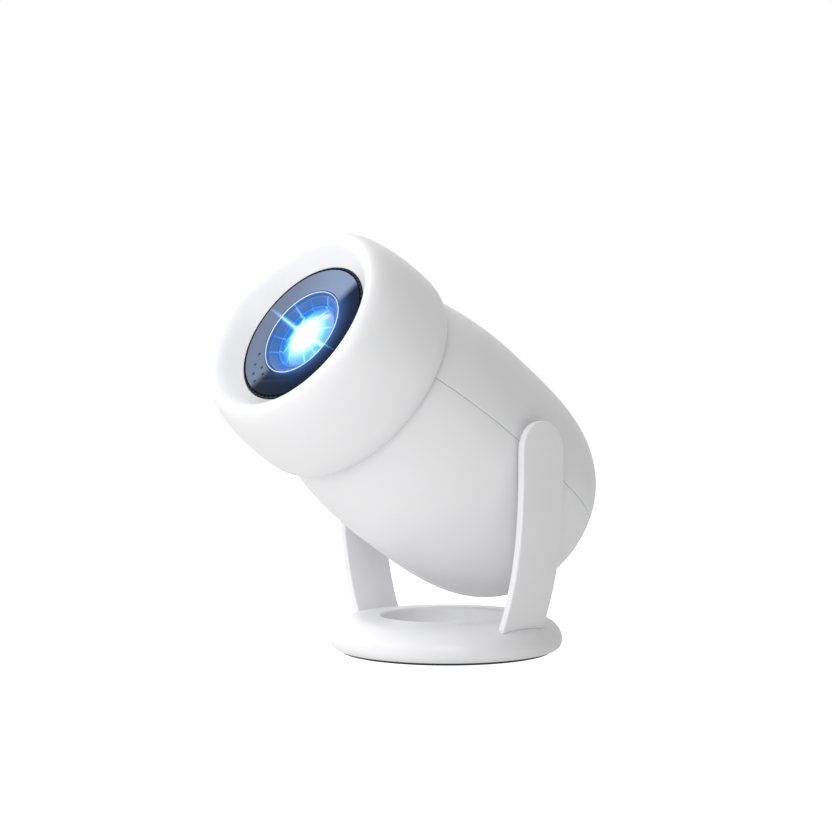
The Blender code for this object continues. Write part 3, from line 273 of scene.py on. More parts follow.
def painted_glow(name, base, roughness, rings, strength, ray_gain=1.0):
    """A surface near the lens, no lamp, painted with glow of the beam: emitted coloured rings round the axis
    plus streaks.

    The node called "ring share" scales the rings alone.
    """
    result, tree, shader = shader_of(name, base, roughness)
    point, distance, _ = lens_place(tree)
    reach = rings[-1][0]
    colours = ramp(tree, math_node(tree, "DIVIDE", distance, reach),
                   [(radius / reach, colour) for radius, colour in rings])
    rays = math_node(tree, "MULTIPLY", painted_ray_strength(tree, point, distance), ray_gain, True)
    streak = ramp(tree, rays, PAINTED_RAY_COLOURS)
    shared = add(tree, "ShaderNodeVectorMath", {0: colours}, operation="SCALE")
    shared.name = "ring share"
    shared.inputs["Scale"].default_value = 1.0
    light = mixed(tree, "ADD", 1.0, shared.outputs["Vector"], streak)
    tree.links.new(light, shader.inputs["Emission Color"])
    shader.inputs["Emission Strength"].default_value = strength
    return result, tree, shader


# ---- mesh tools

def fillet(path, closed=True, steps=5):
    """Round the corners of a path of (radius, height[, fillet]) points with arcs."""
    count = len(path)
    rounded = []
    for index, corner in enumerate(path):
        size = corner[2] if len(corner) > 2 else 0.0
        here = Vector(corner[:2])
        if size == 0 or (not closed and index in (0, count - 1)):
            rounded.append(tuple(here))
            continue
        before = Vector(path[index - 1][:2]) - here
        after = Vector(path[(index + 1) % count][:2]) - here
        reach = min(size, before.length * 0.49, after.length * 0.49)
        start = here + before.normalized() * reach
        end = here + after.normalized() * reach
        for step in range(steps + 1):
            share = step / steps
            rest = 1 - share
            rounded.append(tuple(rest ** 2 * start + 2 * share * rest * here + share ** 2 * end))
    return rounded


def smooth_curve(start, start_pull, end_pull, end, steps):
    """Points of one cubic curve, without its last point."""
    corners = [Vector(corner) for corner in (start, start_pull, end_pull, end)]
    points = []
    for step in range(steps):
        share = step / steps
        rest = 1 - share
        points.append(tuple(rest ** 3 * corners[0] + 3 * rest ** 2 * share * corners[1]
                            + 3 * rest * share ** 2 * corners[2] + share ** 3 * corners[3]))
    return points


def piece_from(name, mesh, material, place, sharp=SHARP_DEGREES):
    mesh.validate()
    mesh.update()
    mesh.shade_smooth()
    mesh.set_sharp_from_angle(angle=math.radians(sharp))
    if material:
        mesh.materials.append(material)
    piece = bpy.data.objects.new(name, mesh)
    bpy.context.scene.collection.objects.link(piece)
    piece.matrix_world = place
    return piece


def mesh_from_bmesh(name, mesh_edit):
    bmesh.ops.recalc_face_normals(mesh_edit, faces=mesh_edit.faces)
    mesh = bpy.data.meshes.new(name)
    mesh_edit.to_mesh(mesh)
    mesh_edit.free()
    return mesh


def lathe_mesh(mesh_edit, profile, segments, sweep=FULL_TURN, start=0.0):
    """Turn a closed outline of (radius, height) about Z."""
    closed = sweep == FULL_TURN
    columns = segments if closed else segments + 1
    shared = {}
    rings = []
    for step in range(columns):
        angle = start + sweep * step / segments
        cosine, sine = math.cos(angle), math.sin(angle)
        ring = []
        for index, (radius, height) in enumerate(profile):
            if abs(radius) < 1e-9 and index in shared:
                ring.append(shared[index])
                continue
            vertex = mesh_edit.verts.new((radius * cosine, radius * sine, height))
            if abs(radius) < 1e-9:
                shared[index] = vertex
            ring.append(vertex)
        rings.append(ring)
    count = len(profile)
    for step in range(segments):
        here = rings[step]
        there = rings[(step + 1) % columns]
        for index in range(count):
            follower = (index + 1) % count
            corners = list(dict.fromkeys((here[index], there[index], there[follower], here[follower])))
            if len(corners) > 2:
                mesh_edit.faces.new(corners)
    if not closed:
        mesh_edit.faces.new(rings[0])
        mesh_edit.faces.new(rings[-1])


def turned(name, profile, material, place=HEAD, segments=128):
    mesh_edit = bmesh.new()
    lathe_mesh(mesh_edit, profile, segments)
    return piece_from(name, mesh_from_bmesh(name, mesh_edit), material, place)


def ring_outline(inner, outer, low, high, edge=0.25 * MM):
    return fillet([(inner, low, edge), (outer, low, edge), (outer, high, edge), (inner, high, edge)], steps=3)


def add_block(mesh_edit, low, high, edge=0.0):
    """A box with rounded edges."""
    made = bmesh.ops.create_cube(mesh_edit, size=1.0)["verts"]
    size = Vector(high) - Vector(low)
    centre = (Vector(high) + Vector(low)) / 2
    for vertex in made:
        vertex.co = Vector((vertex.co.x * size.x, vertex.co.y * size.y, vertex.co.z * size.z)) + centre
    if edge:
        edges = list({side for vertex in made for side in vertex.link_edges})
        bmesh.ops.bevel(mesh_edit, geom=edges, offset=edge, segments=2, profile=0.5, affect="EDGES")


def block_tool(name, low, high, place, edge=0.0):
    mesh_edit = bmesh.new()
    add_block(mesh_edit, low, high, edge)
    return piece_from(name, mesh_from_bmesh(name, mesh_edit), None, place)


def bake(piece):
    """Apply the piece's modifiers to its mesh."""
    graph = bpy.context.evaluated_depsgraph_get()
    mesh = bpy.data.meshes.new_from_object(piece.evaluated_get(graph))
    piece.modifiers.clear()
    piece.data = mesh
    mesh.shade_smooth()
    mesh.set_sharp_from_angle(angle=math.radians(SHARP_DEGREES))


def cut(piece, tools, operation="DIFFERENCE"):
    """Cut or join tools into a piece, then throw the tools away."""
    for tool in tools:
        change = piece.modifiers.new(tool.name, "BOOLEAN")
        change.operation = operation
        change.solver = "EXACT"
        change.object = tool
    bake(piece)
    for tool in tools:
        bpy.data.objects.remove(tool, do_unlink=True)


def rod_tool(name, radius, low, high, place, segments=64):
    return turned(name, [(0, low), (radius, low), (radius, high), (0, high)], None, place, segments)


def flat_plate(name, outlines, low, high, edge, material):
    """A plate with rounded edges from 2D outlines: the first is its rim and the rest are holes."""
    curve = bpy.data.curves.new(name + "_outline", "CURVE")
    curve.dimensions = "2D"
    curve.fill_mode = "BOTH"
    curve.extrude = (high - low) / 2 - edge
    curve.bevel_depth = edge
    curve.bevel_resolution = 2
    curve.offset = -edge
    for outline in outlines:
        spline = curve.splines.new("POLY")
        spline.points.add(len(outline) - 1)
        for point, (x, y) in zip(spline.points, outline):
            point.co = (x, y, 0, 1)
        spline.use_cyclic_u = True
    holder = bpy.data.objects.new(name + "_holder", curve)
    bpy.context.scene.collection.objects.link(holder)
    bpy.context.view_layer.update()
    mesh = bpy.data.meshes.new_from_object(holder.evaluated_get(bpy.context.evaluated_depsgraph_get()))
    bpy.data.objects.remove(holder, do_unlink=True)
    mesh_edit = bmesh.new()
    mesh_edit.from_mesh(mesh)
    bmesh.ops.remove_doubles(mesh_edit, verts=mesh_edit.verts, dist=1e-7)
    for vertex in mesh_edit.verts:
        vertex.co.z += (low + high) / 2
    return piece_from(name, mesh_from_bmesh(name, mesh_edit), material, HEAD, PLATE_SHARP_DEGREES)


def circle(radius, count=48, centre=(0, 0)):
    return [(centre[0] + radius * math.cos(FULL_TURN * step / count),
             centre[1] + radius * math.sin(FULL_TURN * step / count)) for step in range(count)]


def slot_outline(left, right, height, centre_y):
    """A slot with round ends."""
    radius = height / 2
    steps = 8
    points = []
    for centre_x, start in ((right - radius, -math.pi / 2), (left + radius, math.pi / 2)):
        for step in range(steps + 1):
            angle = start + math.pi * step / steps
            points.append((centre_x + radius * math.cos(angle), centre_y + radius * math.sin(angle)))
    return points


def settle(piece, body, node=None):
    """The piece rides on a body and stands for a CAD node if one is named."""
    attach(piece, body)
    if node:
        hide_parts(node)


def add_turned(name, outline, material, segments, body, node=None, place=HEAD):
    settle(turned(name, outline, material, place, segments), body, node)


# ---- materials of the object

casing = moulded("casing_plastic", (0.83, 0.83, 0.84), 0.36, coat=0.12)
panel_plastic = moulded("panel_plastic", (0.74, 0.74, 0.75), 0.5, grain_scale=1800.0, grain=0.16)
black_plastic = moulded("black_plastic", (0.018, 0.018, 0.02), 0.42, grain=0.12, mottle=0.15)
steel = brushed("bright_steel", (0.58, 0.58, 0.6), 0.3)
aluminium = brushed("extruded_aluminium", (0.74, 0.75, 0.77), 0.36)
nylon = moulded("bush_nylon", (0.78, 0.76, 0.69), 0.48, grain=0.1)
pad_rubber = rubber("pad_rubber")
board = circuit("solder_mask", (0.02, 0.16, 0.07))
focus_plastic = moulded("focus_ring_plastic", (0.012, 0.014, 0.022), 0.55, grain=0.1, mottle=0.1)
focus_plastic.node_tree.nodes["Principled BSDF"].inputs["Specular IOR Level"].default_value = 0.15
window_plastic = moulded("ir_window_plastic", (0.03, 0.008, 0.012), 0.08, grain=0.01, coat=0.6)

# ---- head casing

BARREL_WIDEST = 11.1 * MM
BARREL_REAR_REACH = 89.0 * MM
BARREL_REAR_POWER = 3.5
BARREL_FRONT_REACH = 113.3 * MM
SHELL_WALL = 2.2 * MM
NECK_WALL = 2.1 * MM
NECK_REAR = 70.3 * MM
NECK_RADIUS = 47.7 * MM
PANEL_FLANGE_DEPTH = 2.5 * MM
PANEL_FLANGE_WIDTH = 5.0 * MM
PARTING_EDGE = 0.22 * MM
HINGE_HOLE = 7.15 * MM


def barrel_rear(radius, reach, turn):
    power = 2 / BARREL_REAR_POWER
    return (radius * math.cos(turn) ** power, BARREL_WIDEST - reach * math.sin(turn) ** power)


def barrel_front(radius, position):
    return radius * math.sqrt(1 - ((position - BARREL_WIDEST) / BARREL_FRONT_REACH) ** 2)


def rear_turn(reach, position):
    return math.asin(((BARREL_WIDEST - position) / reach) ** (BARREL_REAR_POWER / 2))


def even_rear(radius, reach, start, count):
    """Points of the rear curve, evenly spread along it, from a position back to the widest ring."""
    last = rear_turn(reach, start)
    fine = [barrel_rear(radius, reach, last * (1 - step / 400) ** 2) for step in range(401)]
    lengths = [0.0]
    for first, second in zip(fine, fine[1:]):
        lengths.append(lengths[-1] + math.dist(first, second))
    targets = np.linspace(0, lengths[-1], count)
    return list(zip(np.interp(targets, lengths, [point[0] for point in fine]),
                    np.interp(targets, lengths, [point[1] for point in fine])))


shell_low, shell_high, _, shell_radius = span("upper_shell")
_, panel_high, _, panel_radius = span("rear_panel")


def shell_outline():
    """The half shells' outline, and how many of its first points are outer skin."""
    outline = even_rear(shell_radius, BARREL_REAR_REACH, shell_low.z, 44)[:-1]
    steps = 30
    for step in range(steps + 1):
        position = BARREL_WIDEST + (NECK_REAR - BARREL_WIDEST) * step / steps
        outline.append((barrel_front(shell_radius, position), position))
    skin_points = len(outline)
    neck_inside = NECK_RADIUS - NECK_WALL
    neck = [outline[-1], (NECK_RADIUS, NECK_REAR, SMALL_EDGE), (NECK_RADIUS, shell_high.z, EDGE),
            (neck_inside, shell_high.z, EDGE), (neck_inside, NECK_REAR - 3 * MM)]
    outline += fillet(neck, False, 3)[1:]
    steps = 16
    for step in range(steps, 0, -1):
        position = BARREL_WIDEST + (NECK_REAR - 8 * MM - BARREL_WIDEST) * step / steps
        outline.append((barrel_front(shell_radius, position) - SHELL_WALL, position))
    seat = panel_high.z + GAP
    flange_front = seat + PANEL_FLANGE_DEPTH
    outline += even_rear(shell_radius - SHELL_WALL, BARREL_REAR_REACH - SHELL_WALL, flange_front, 20)[::-1]
    bore = panel_radius - PANEL_FLANGE_WIDTH
    rim = panel_radius + GAP
    outline += [(bore, flange_front), (bore, seat), (rim, seat), (rim, shell_low.z)]
    return outline, skin_points


def half_shell(name, outline, skin_points, start):
    """Half a turn of the outline, its outer skin rounded off at the two parting edges."""
    shares = (0.0, 0.12, 0.3, 0.6, 1.0)
    rounded = [PARTING_EDGE / shell_radius * share for share in shares]
    even = list(np.linspace(rounded[-1], math.pi - rounded[-1], 121))
    angles = rounded[:-1] + even + [math.pi - angle for angle in reversed(rounded[:-1])]
    mesh_edit = bmesh.new()
    columns = []
    for angle in angles:
        inward = 1 - min(1.0, min(angle, math.pi - angle) / rounded[-1])
        drop = PARTING_EDGE * (1 - math.sqrt(1 - inward ** 2))
        across, upward = math.cos(start + angle), math.sin(start + angle)
        column = []
        for index, (radius, height) in enumerate(outline):
            reach = radius - drop if index < skin_points else radius
            column.append(mesh_edit.verts.new((reach * across, reach * upward, height)))
        columns.append(column)
    count = len(outline)
    for here, there in zip(columns, columns[1:]):
        for index in range(count):
            follower = (index + 1) % count
            mesh_edit.faces.new([here[index], there[index], there[follower], here[follower]])
    mesh_edit.faces.new(columns[0])
    mesh_edit.faces.new(columns[-1])
    return mesh_from_bmesh(name, mesh_edit)


def make_shells():
    outline, skin_points = shell_outline()
    across = HEAD @ Matrix.Rotation(math.pi / 2, 4, "Y")
    reach = 1.2 * shell_radius
    for name, start, shift in (("upper_shell", 0.0, 1), ("lower_shell", math.pi, -1)):
        place = HEAD @ Matrix.Translation((0, shift * GAP / 2, 0))
        shell = piece_from(name + "_skin", half_shell(name, outline, skin_points, start), casing, place)
        cut(shell, [rod_tool("hinge_tool", HINGE_HOLE, -reach, reach, across, 72)])
        settle(shell, "head", name)


RING_LIP_SHARE = 0.83
RING_WIDEST_SHARE = 0.19
RING_REAR_INSET = 3.4 * MM
RING_REAR_LIP = 1.6 * MM
RING_LENS_DEPTH = 0.7 * MM
RING_LIP_PULL = 3.4 * MM
RING_FUNNEL_PULL = 4.6 * MM
# Radius, height and rounding of each corner of the ring's inside, from the opening back
RING_INNER_WALL = ((35.6 * MM, 104.3 * MM, EDGE), (39 * MM, 103.8 * MM, 2 * MM),
                   (46.5 * MM, 100.3 * MM, 3 * MM), (50.2 * MM, 95.5 * MM, 3 * MM),
                   (51.4 * MM, 84.5 * MM, 0.5 * MM), (41 * MM, 84.5 * MM, EDGE), (41 * MM, 79.6 * MM, EDGE))


def make_front_ring():
    """The bell with its fat lip and funnel."""
    low, high, opening, widest = span("front_ring")
    turn_over = low.z + (high.z - low.z) * RING_WIDEST_SHARE
    lip = widest * RING_LIP_SHARE
    rear_radius = widest - RING_REAR_INSET
    rear_inner = rear_radius - RING_REAR_LIP
    rear_corner = (rear_inner, low.z + 0.4 * MM)
    outline = [rear_corner, (rear_inner + EDGE, low.z + HAIR_EDGE)]
    steps = 18
    for step in range(steps):
        turn = math.pi / 2 * (1 - step / steps)
        outline.append((rear_radius + (widest - rear_radius) * math.cos(turn),
                        turn_over - (turn_over - low.z) * math.sin(turn)))
    for turn in quarter_turns(64):
        outline.append((lip + (widest - lip) * math.cos(turn),
                        turn_over + (high.z - turn_over) * math.sin(turn)))
    lens_edge = span("lens_plate")[1].z - RING_LENS_DEPTH
    funnel_pull = (opening + RING_FUNNEL_PULL, lens_edge + RING_FUNNEL_PULL)
    lip_pull = (lip - RING_LIP_PULL, high.z)
    outline += smooth_curve((lip, high.z), lip_pull, funnel_pull, (opening, lens_edge), 36)[1:]
    inside = [(opening, lens_edge), *RING_INNER_WALL, (rear_inner, RING_INNER_WALL[-1][1], EDGE), rear_corner]
    outline += fillet(inside, False, 4)[:-1]
    add_turned("front_ring_skin", outline, casing, 224, "head", "front_ring")


make_shells()
make_front_ring()

# ---- base

BASE_CREST = 39.0 * MM
BASE_RECESS = 31.7 * MM
BASE_FLOOR = 8.0 * MM
BASE_WIDEST = 6.0 * MM
BASE_POWER = 2 / 2.2
BASE_CEILING = ((33.4 * MM, 6 * MM), (33.8 * MM, 13 * MM), (38.6 * MM, 15.2 * MM), (49 * MM, 13 * MM),
                (53.8 * MM, 8.8 * MM))
ARM_SLOT_GAP = 0.22 * MM
PAD_GROOVES = 8
PAD_GROOVE_SPACES = 9.2
PAD_GROOVE_HALF_MOUTH = 0.7 * MM
PAD_GROOVE_DEPTH = 0.35 * MM


def make_base():
    """The ring-shaped foot with its round recess, slotted for the arms."""
    low, high, _, radius = span("base_shell", STAND)
    foot = span("base_pad", STAND)[3]
    skirt = (foot + 0.6 * MM, low.z)
    outline = [(foot - 1.0 * MM, low.z), skirt]
    side = (radius, BASE_WIDEST)
    outline += smooth_curve(skirt, (foot + 3.4 * MM, low.z), (radius, 3.0 * MM), side, 14)[1:]
    for turn in quarter_turns(48):
        outline.append((BASE_CREST + (radius - BASE_CREST) * math.cos(turn) ** BASE_POWER,
                        BASE_WIDEST + (high.z - BASE_WIDEST) * math.sin(turn) ** BASE_POWER))
    recess = [(BASE_CREST, high.z), (BASE_RECESS, high.z, 2.4 * MM), (BASE_RECESS, BASE_FLOOR, 1.6 * MM),
              (0, BASE_FLOOR)]
    outline += fillet(recess, False, 12)[1:]
    outline += [(0, BASE_CEILING[0][1]), *BASE_CEILING, (foot - 1 * MM, low.z + 2.4 * MM)]
    shell = turned("base_skin", outline, casing, STAND, 224)
    cut(shell, [blade("slot_tool", side, ARM_SLOT_GAP, None) for side in (-1, 1)])
    settle(shell, "stand", "base_shell")


def make_pad():
    """A thin rubber disc with ring grooves underneath."""
    _, high, _, radius = span("base_pad", STAND)
    mouth = PAD_GROOVE_HALF_MOUTH
    depth = PAD_GROOVE_DEPTH
    outline = [(0, high.z), (0, 0.0)]
    for number in range(1, PAD_GROOVES + 1):
        centre = radius * number / PAD_GROOVE_SPACES
        outline += [(centre - mouth, 0.0), (centre - depth, depth), (centre + depth, depth),
                    (centre + mouth, 0.0)]
    rim = [outline[-1], (radius, 0.0, depth), (radius, high.z, SMALL_EDGE), (0, high.z)]
    outline += fillet(rim, False, 3)[1:-1]
    add_turned("base_pad_rubber", outline, pad_rubber, 160, "stand", "base_pad", STAND)


ARM_TUCK = 13.5 * MM
ARM_TUCK_POWER = 2.67
ARM_TUCK_HEIGHT = 84.35 * MM
ARM_THICKNESS = 3.7 * MM
ARM_EDGE = 0.85 * MM
ARM_ROUND_HEIGHT = 98.3 * MM
ARM_ROUND_POWER = 2 / 2.12
ARM_FOOT_HALF = 11 * MM
ARM_FOOT_HEIGHT = 3.6 * MM
arm_low, arm_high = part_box("arm_right")


def arm_outer(height):
    below = max(0.0, TILT_POINT.z - height) / ARM_TUCK_HEIGHT
    return arm_high.x - ARM_TUCK * below ** ARM_TUCK_POWER


def blade(name, side, grow, material):
    """The arm: a curved strip with straight sides, a round top and rounded edges."""
    half = (arm_high.y - arm_low.y) / 2 + grow
    bottom = arm_low.z - grow
    left = []
    steps = 60
    for step in range(steps):
        left.append(((-half, bottom + (ARM_ROUND_HEIGHT - bottom) * step / steps), (-1.0, 0.0)))
    for turn in quarter_turns(40):
        left.append(((-half * math.cos(turn) ** ARM_ROUND_POWER,
                      ARM_ROUND_HEIGHT + half * math.sin(turn) ** ARM_ROUND_POWER),
                     (-math.cos(turn), math.sin(turn))))
    right = [((-y, z), (-ny, nz)) for (y, z), (ny, nz) in reversed(left[:-1])]
    outline = left + right
    layers = []
    for turn in quarter_turns(5):
        layers.append((ARM_EDGE * (1 - math.sin(turn)), ARM_EDGE * (1 - math.cos(turn))))
    thickness = ARM_THICKNESS + 2 * grow
    layers += [(inset, thickness - depth) for inset, depth in reversed(layers)]
    mesh_edit = bmesh.new()
    columns = []
    for (y, z), (normal_y, normal_z) in outline:
        column = []
        for inset, depth in layers:
            height = z - inset * normal_z
            reach = side * (arm_outer(height) + grow - depth)
            column.append(mesh_edit.verts.new((reach, y - inset * normal_y, height)))
        columns.append(column)
    for here, there in zip(columns, columns[1:]):
        for index in range(len(layers) - 1):
            mesh_edit.faces.new([here[index], there[index], there[index + 1], here[index + 1]])
    last = len(columns) - 1
    for index in range(last // 2):
        for layer in (0, -1):
            corners = [columns[index][layer], columns[last - index][layer], columns[last - index - 1][layer],
                       columns[index + 1][layer]]
            mesh_edit.faces.new(list(dict.fromkeys(corners)))
    mesh_edit.faces.new(columns[0] + columns[-1][::-1])
    return piece_from(name, mesh_from_bmesh(name, mesh_edit), material, STAND)


def make_arms():
    flange_radius = span("hinge_pin_right", STAND)[1].y
    inner = arm_high.x - ARM_THICKNESS
    for word, side in (("left", -1), ("right", 1)):
        arm = blade(f"arm_{word}_skin", side, 0.0, casing)
        low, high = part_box(f"arm_{word}")
        near, far = sorted((low.x if side > 0 else high.x, side * (arm_outer(arm_low.z) - 1 * MM)))
        foot = block_tool("foot_tool", (near, -ARM_FOOT_HALF, arm_low.z),
                          (far, ARM_FOOT_HALF, arm_low.z + ARM_FOOT_HEIGHT), STAND, 0.4 * MM)
        cut(arm, [foot], "UNION")
        turn = Matrix.Translation(TILT_POINT) @ Matrix.Rotation(side * math.pi / 2, 4, "Y")
        cut(arm, [rod_tool("pocket_tool", flange_radius + GAP, inner - 3 * MM, inner + 2 * MM, turn, 96)])
        settle(arm, "stand", f"arm_{word}")


make_base()
make_pad()
make_arms()

# ---- lens group

# Colour of a painted reflection of the pale studio in the glossy plate, and the plate's own navy black
PLATE_PAINTED_REFLECTION = (0.17, 0.22, 0.33)
PLATE_NAVY = (0.002, 0.008, 0.024)
# Painted blue glow on the plate round the lens: distance from the axis and colour
PLATE_PAINTED_GLOW = ((0.0, (0.02, 0.11, 0.50)), (21.5 * MM, (0.02, 0.11, 0.42)), (25 * MM, (0.008, 0.045, 0.16)),
               (29 * MM, (0.001, 0.008, 0.03)), (36 * MM, (0.0, 0.001, 0.002)))
# Direction towards the side of the plate with the painted reflection, and the direction along which the
# painted reflection and glow brighten
TOWARD_PAINTED_REFLECTION = (-0.80, 0.60, 0)
ACROSS_PLATE = (0.9, 0.44, 0)
# Radius and direction in degrees of each small hole of the plate
VENTS = ((25.5 * MM, 206), (27.9 * MM, 217), (29.9 * MM, 227), (31.0 * MM, 237), (24.8 * MM, 229),
         (26.0 * MM, 239))
VENT_RADIUS = 0.75 * MM
RIB_INSET = 0.42 * MM
RIB_WIDTH = 0.18 * MM
RIB_GAP = 0.02 * MM
RIB_DEPTH = 0.4 * MM
SEAT_DEPTH = 0.7 * MM
FOCUS_TEETH = 72
FOCUS_TOOTH_HALF = 0.8 * MM
FOCUS_TOOTH_HEIGHT = 0.8 * MM
FOCUS_WALL = 1.1 * MM
FOCUS_LIP = 0.45 * MM
FOCUS_WEB = 2.0 * MM
REAR_LENS_SEAT = 75.2 * MM
REAR_LENS_BORE = 16.0 * MM
# Centre and colour of a painted pink reflection on the front lens, and colour of a painted pale sheen at its
# upper edge
PAINTED_REFLECTION_SPOT = (6.8 * MM, 10.4 * MM, 0)
PAINTED_REFLECTION_PINK = (0.95, 0.72, 0.86, 1)
PAINTED_SHEEN_COLOUR = (0.30, 0.38, 0.52, 1)


def plate_material():
    """Glossy black with a painted reflection of the pale studio on one side and painted blue glow beside the
    lens.
    """
    result, tree, shader = painted_glow("lens_plate_glass", PLATE_NAVY, 0.2, PLATE_PAINTED_GLOW, 0.8, 0.8)
    point = object_point(tree)
    slope = dot(tree, point, TOWARD_PAINTED_REFLECTION)
    across = dot(tree, point, ACROSS_PLATE)
    # Painted reflection: lavender on the pale side of the plate, brightening across it, navy black elsewhere
    pale = span_to(tree, slope, -7 * MM, 0.0)
    reflection_colour = mixed(tree, "MIX", span_to(tree, across, -12 * MM, 24 * MM), (*shade(PLATE_PAINTED_REFLECTION, 0.85), 1),
                   (*shade(PLATE_PAINTED_REFLECTION, 1.25), 1))
    tree.links.new(mixed(tree, "MIX", pale, (*PLATE_NAVY, 1), reflection_colour), shader.inputs["Base Color"])
    # Painted blue glow rings, strongest beside the lens and faint on the painted reflection
    beside = span_to(tree, across, -26 * MM, 6 * MM, 0.12, 1.0)
    share = math_node(tree, "MULTIPLY", beside, span_to(tree, slope, -7 * MM, 0.0, 1.0, 0.1))
    tree.links.new(share, tree.nodes["ring share"].inputs["Scale"])
    tree.links.new(span_to(tree, noise(tree, 90.0), 0.3, 0.7, 0.16, 0.26), shader.inputs["Roughness"])
    shader.inputs["Specular IOR Level"].default_value = 0.04
    bump(tree, shader, noise(tree, 60.0), 0.02, 0.2 * MM)
    return result


def make_lens_plate():
    low, high, hole, rim = span("lens_plate")
    outlines = [circle(rim, 192), circle(hole, 128)]
    outlines += [circle(VENT_RADIUS, 20, on_circle(radius, angle)) for radius, angle in VENTS]
    plate = flat_plate("lens_plate_gloss", outlines, low.z, high.z, 0.25 * MM, plate_material())
    settle(plate, "head", "lens_plate")


def make_light_ring():
    """A thin lit rib between two dark seat rings."""
    low, high, inner, outer = span("light_ring")
    ring_light, tree, shader = shader_of("light_ring_glow", (0.75, 0.9, 1.0), 0.25)
    tree.links.new(ramp(tree, noise(tree, 160.0), [(0.3, (0.66, 0.76, 1.0)), (0.7, (0.84, 0.88, 1.0))]),
                   shader.inputs["Emission Color"])
    shader.inputs["Emission Strength"].default_value = 0.30
    rib = inner + RIB_INSET
    outline = ring_outline(rib, rib + RIB_WIDTH, low.z, high.z - RIB_DEPTH, 0.06 * MM)
    add_turned("light_ring_lit", outline, ring_light, 160, "head", "light_ring")
    # The dark seat rings carry painted glow of the beam, though they are no lamp.
    seat_material = painted_glow("light_ring_seat", (0.02, 0.03, 0.06), 0.4, PAINTED_BEAM_GLOW, 0.9)[0]
    for name, near, far in (("inner", inner, rib - RIB_GAP), ("outer", rib + RIB_WIDTH + RIB_GAP, outer)):
        outline = ring_outline(near, far, low.z, high.z - SEAT_DEPTH, 0.08 * MM)
        add_turned(f"light_ring_{name}_seat", outline, seat_material, 160, "head")


def make_focus_ring():
    """A cup with a crown of small square teeth."""
    low, high, hub, outer = span("focus_ring")
    inner = outer - FOCUS_WALL
    valley = high.z - FOCUS_TOOTH_HEIGHT
    web = low.z + FOCUS_WEB
    wall = outer - FOCUS_LIP
    outline = fillet([(hub, low.z, EDGE), (outer, low.z, EDGE), (outer, high.z, HAIR_EDGE),
                      (wall, high.z, HAIR_EDGE), (wall, valley), (inner, valley, HAIR_EDGE), (inner, web),
                      (hub, web, EDGE)])
    ring = turned("focus_ring_body", outline, focus_plastic, HEAD, 144)
    crown_mesh = bmesh.new()
    for tooth in range(FOCUS_TEETH):
        before = len(crown_mesh.verts)
        add_block(crown_mesh, (inner + 0.1 * MM, -FOCUS_TOOTH_HALF, valley - 0.2 * MM),
                  (wall + 0.2 * MM, FOCUS_TOOTH_HALF, high.z - 0.02 * MM), 0.12 * MM)
        crown_mesh.verts.ensure_lookup_table()
        bmesh.ops.rotate(crown_mesh, verts=crown_mesh.verts[before:], cent=(0, 0, 0),
                         matrix=Matrix.Rotation(FULL_TURN * tooth / FOCUS_TEETH, 3, "Z"))
    crown = piece_from("focus_ring_teeth", mesh_from_bmesh("teeth", crown_mesh), focus_plastic, HEAD)
    settle(ring, "focus_ring", "focus_ring")
    settle(crown, "focus_ring")


def lens_material():
    """Coated glass painted with the projector's light and glare, a painted soft pink reflection and a painted
    pale sheen at its upper edge.
    """
    result, tree, shader = painted_glow("front_lens_lit", (0.02, 0.06, 0.2), 0.06, PAINTED_BEAM_GLOW, 1.15, 1.3)
    point, distance, direction = lens_place(tree)
    light = shader.inputs["Emission Color"].links[0].from_socket
    flat = add(tree, "ShaderNodeVectorMath", {0: point, 1: (1, 1, 0)}, operation="MULTIPLY").outputs[0]
    apart = add(tree, "ShaderNodeVectorMath", {0: flat, 1: PAINTED_REFLECTION_SPOT}, operation="DISTANCE").outputs["Value"]
    light = mixed(tree, "MIX", span_to(tree, apart, 0.8 * MM, 3.0 * MM, 0.55, 0.0), light, PAINTED_REFLECTION_PINK)
    upper = span_to(tree, dot(tree, direction, (0.62, 0.78, 0)), 0.45, 0.95)
    painted_sheen = math_node(tree, "MULTIPLY", upper, span_to(tree, distance, 11 * MM, 15.5 * MM, 0.0, 0.5))
    light = mixed(tree, "MIX", painted_sheen, light, PAINTED_SHEEN_COLOUR)
    tree.links.new(light, shader.inputs["Emission Color"])
    shader.inputs["Coat Weight"].default_value = 0.5
    shader.inputs["Coat Roughness"].default_value = 0.06
    return result


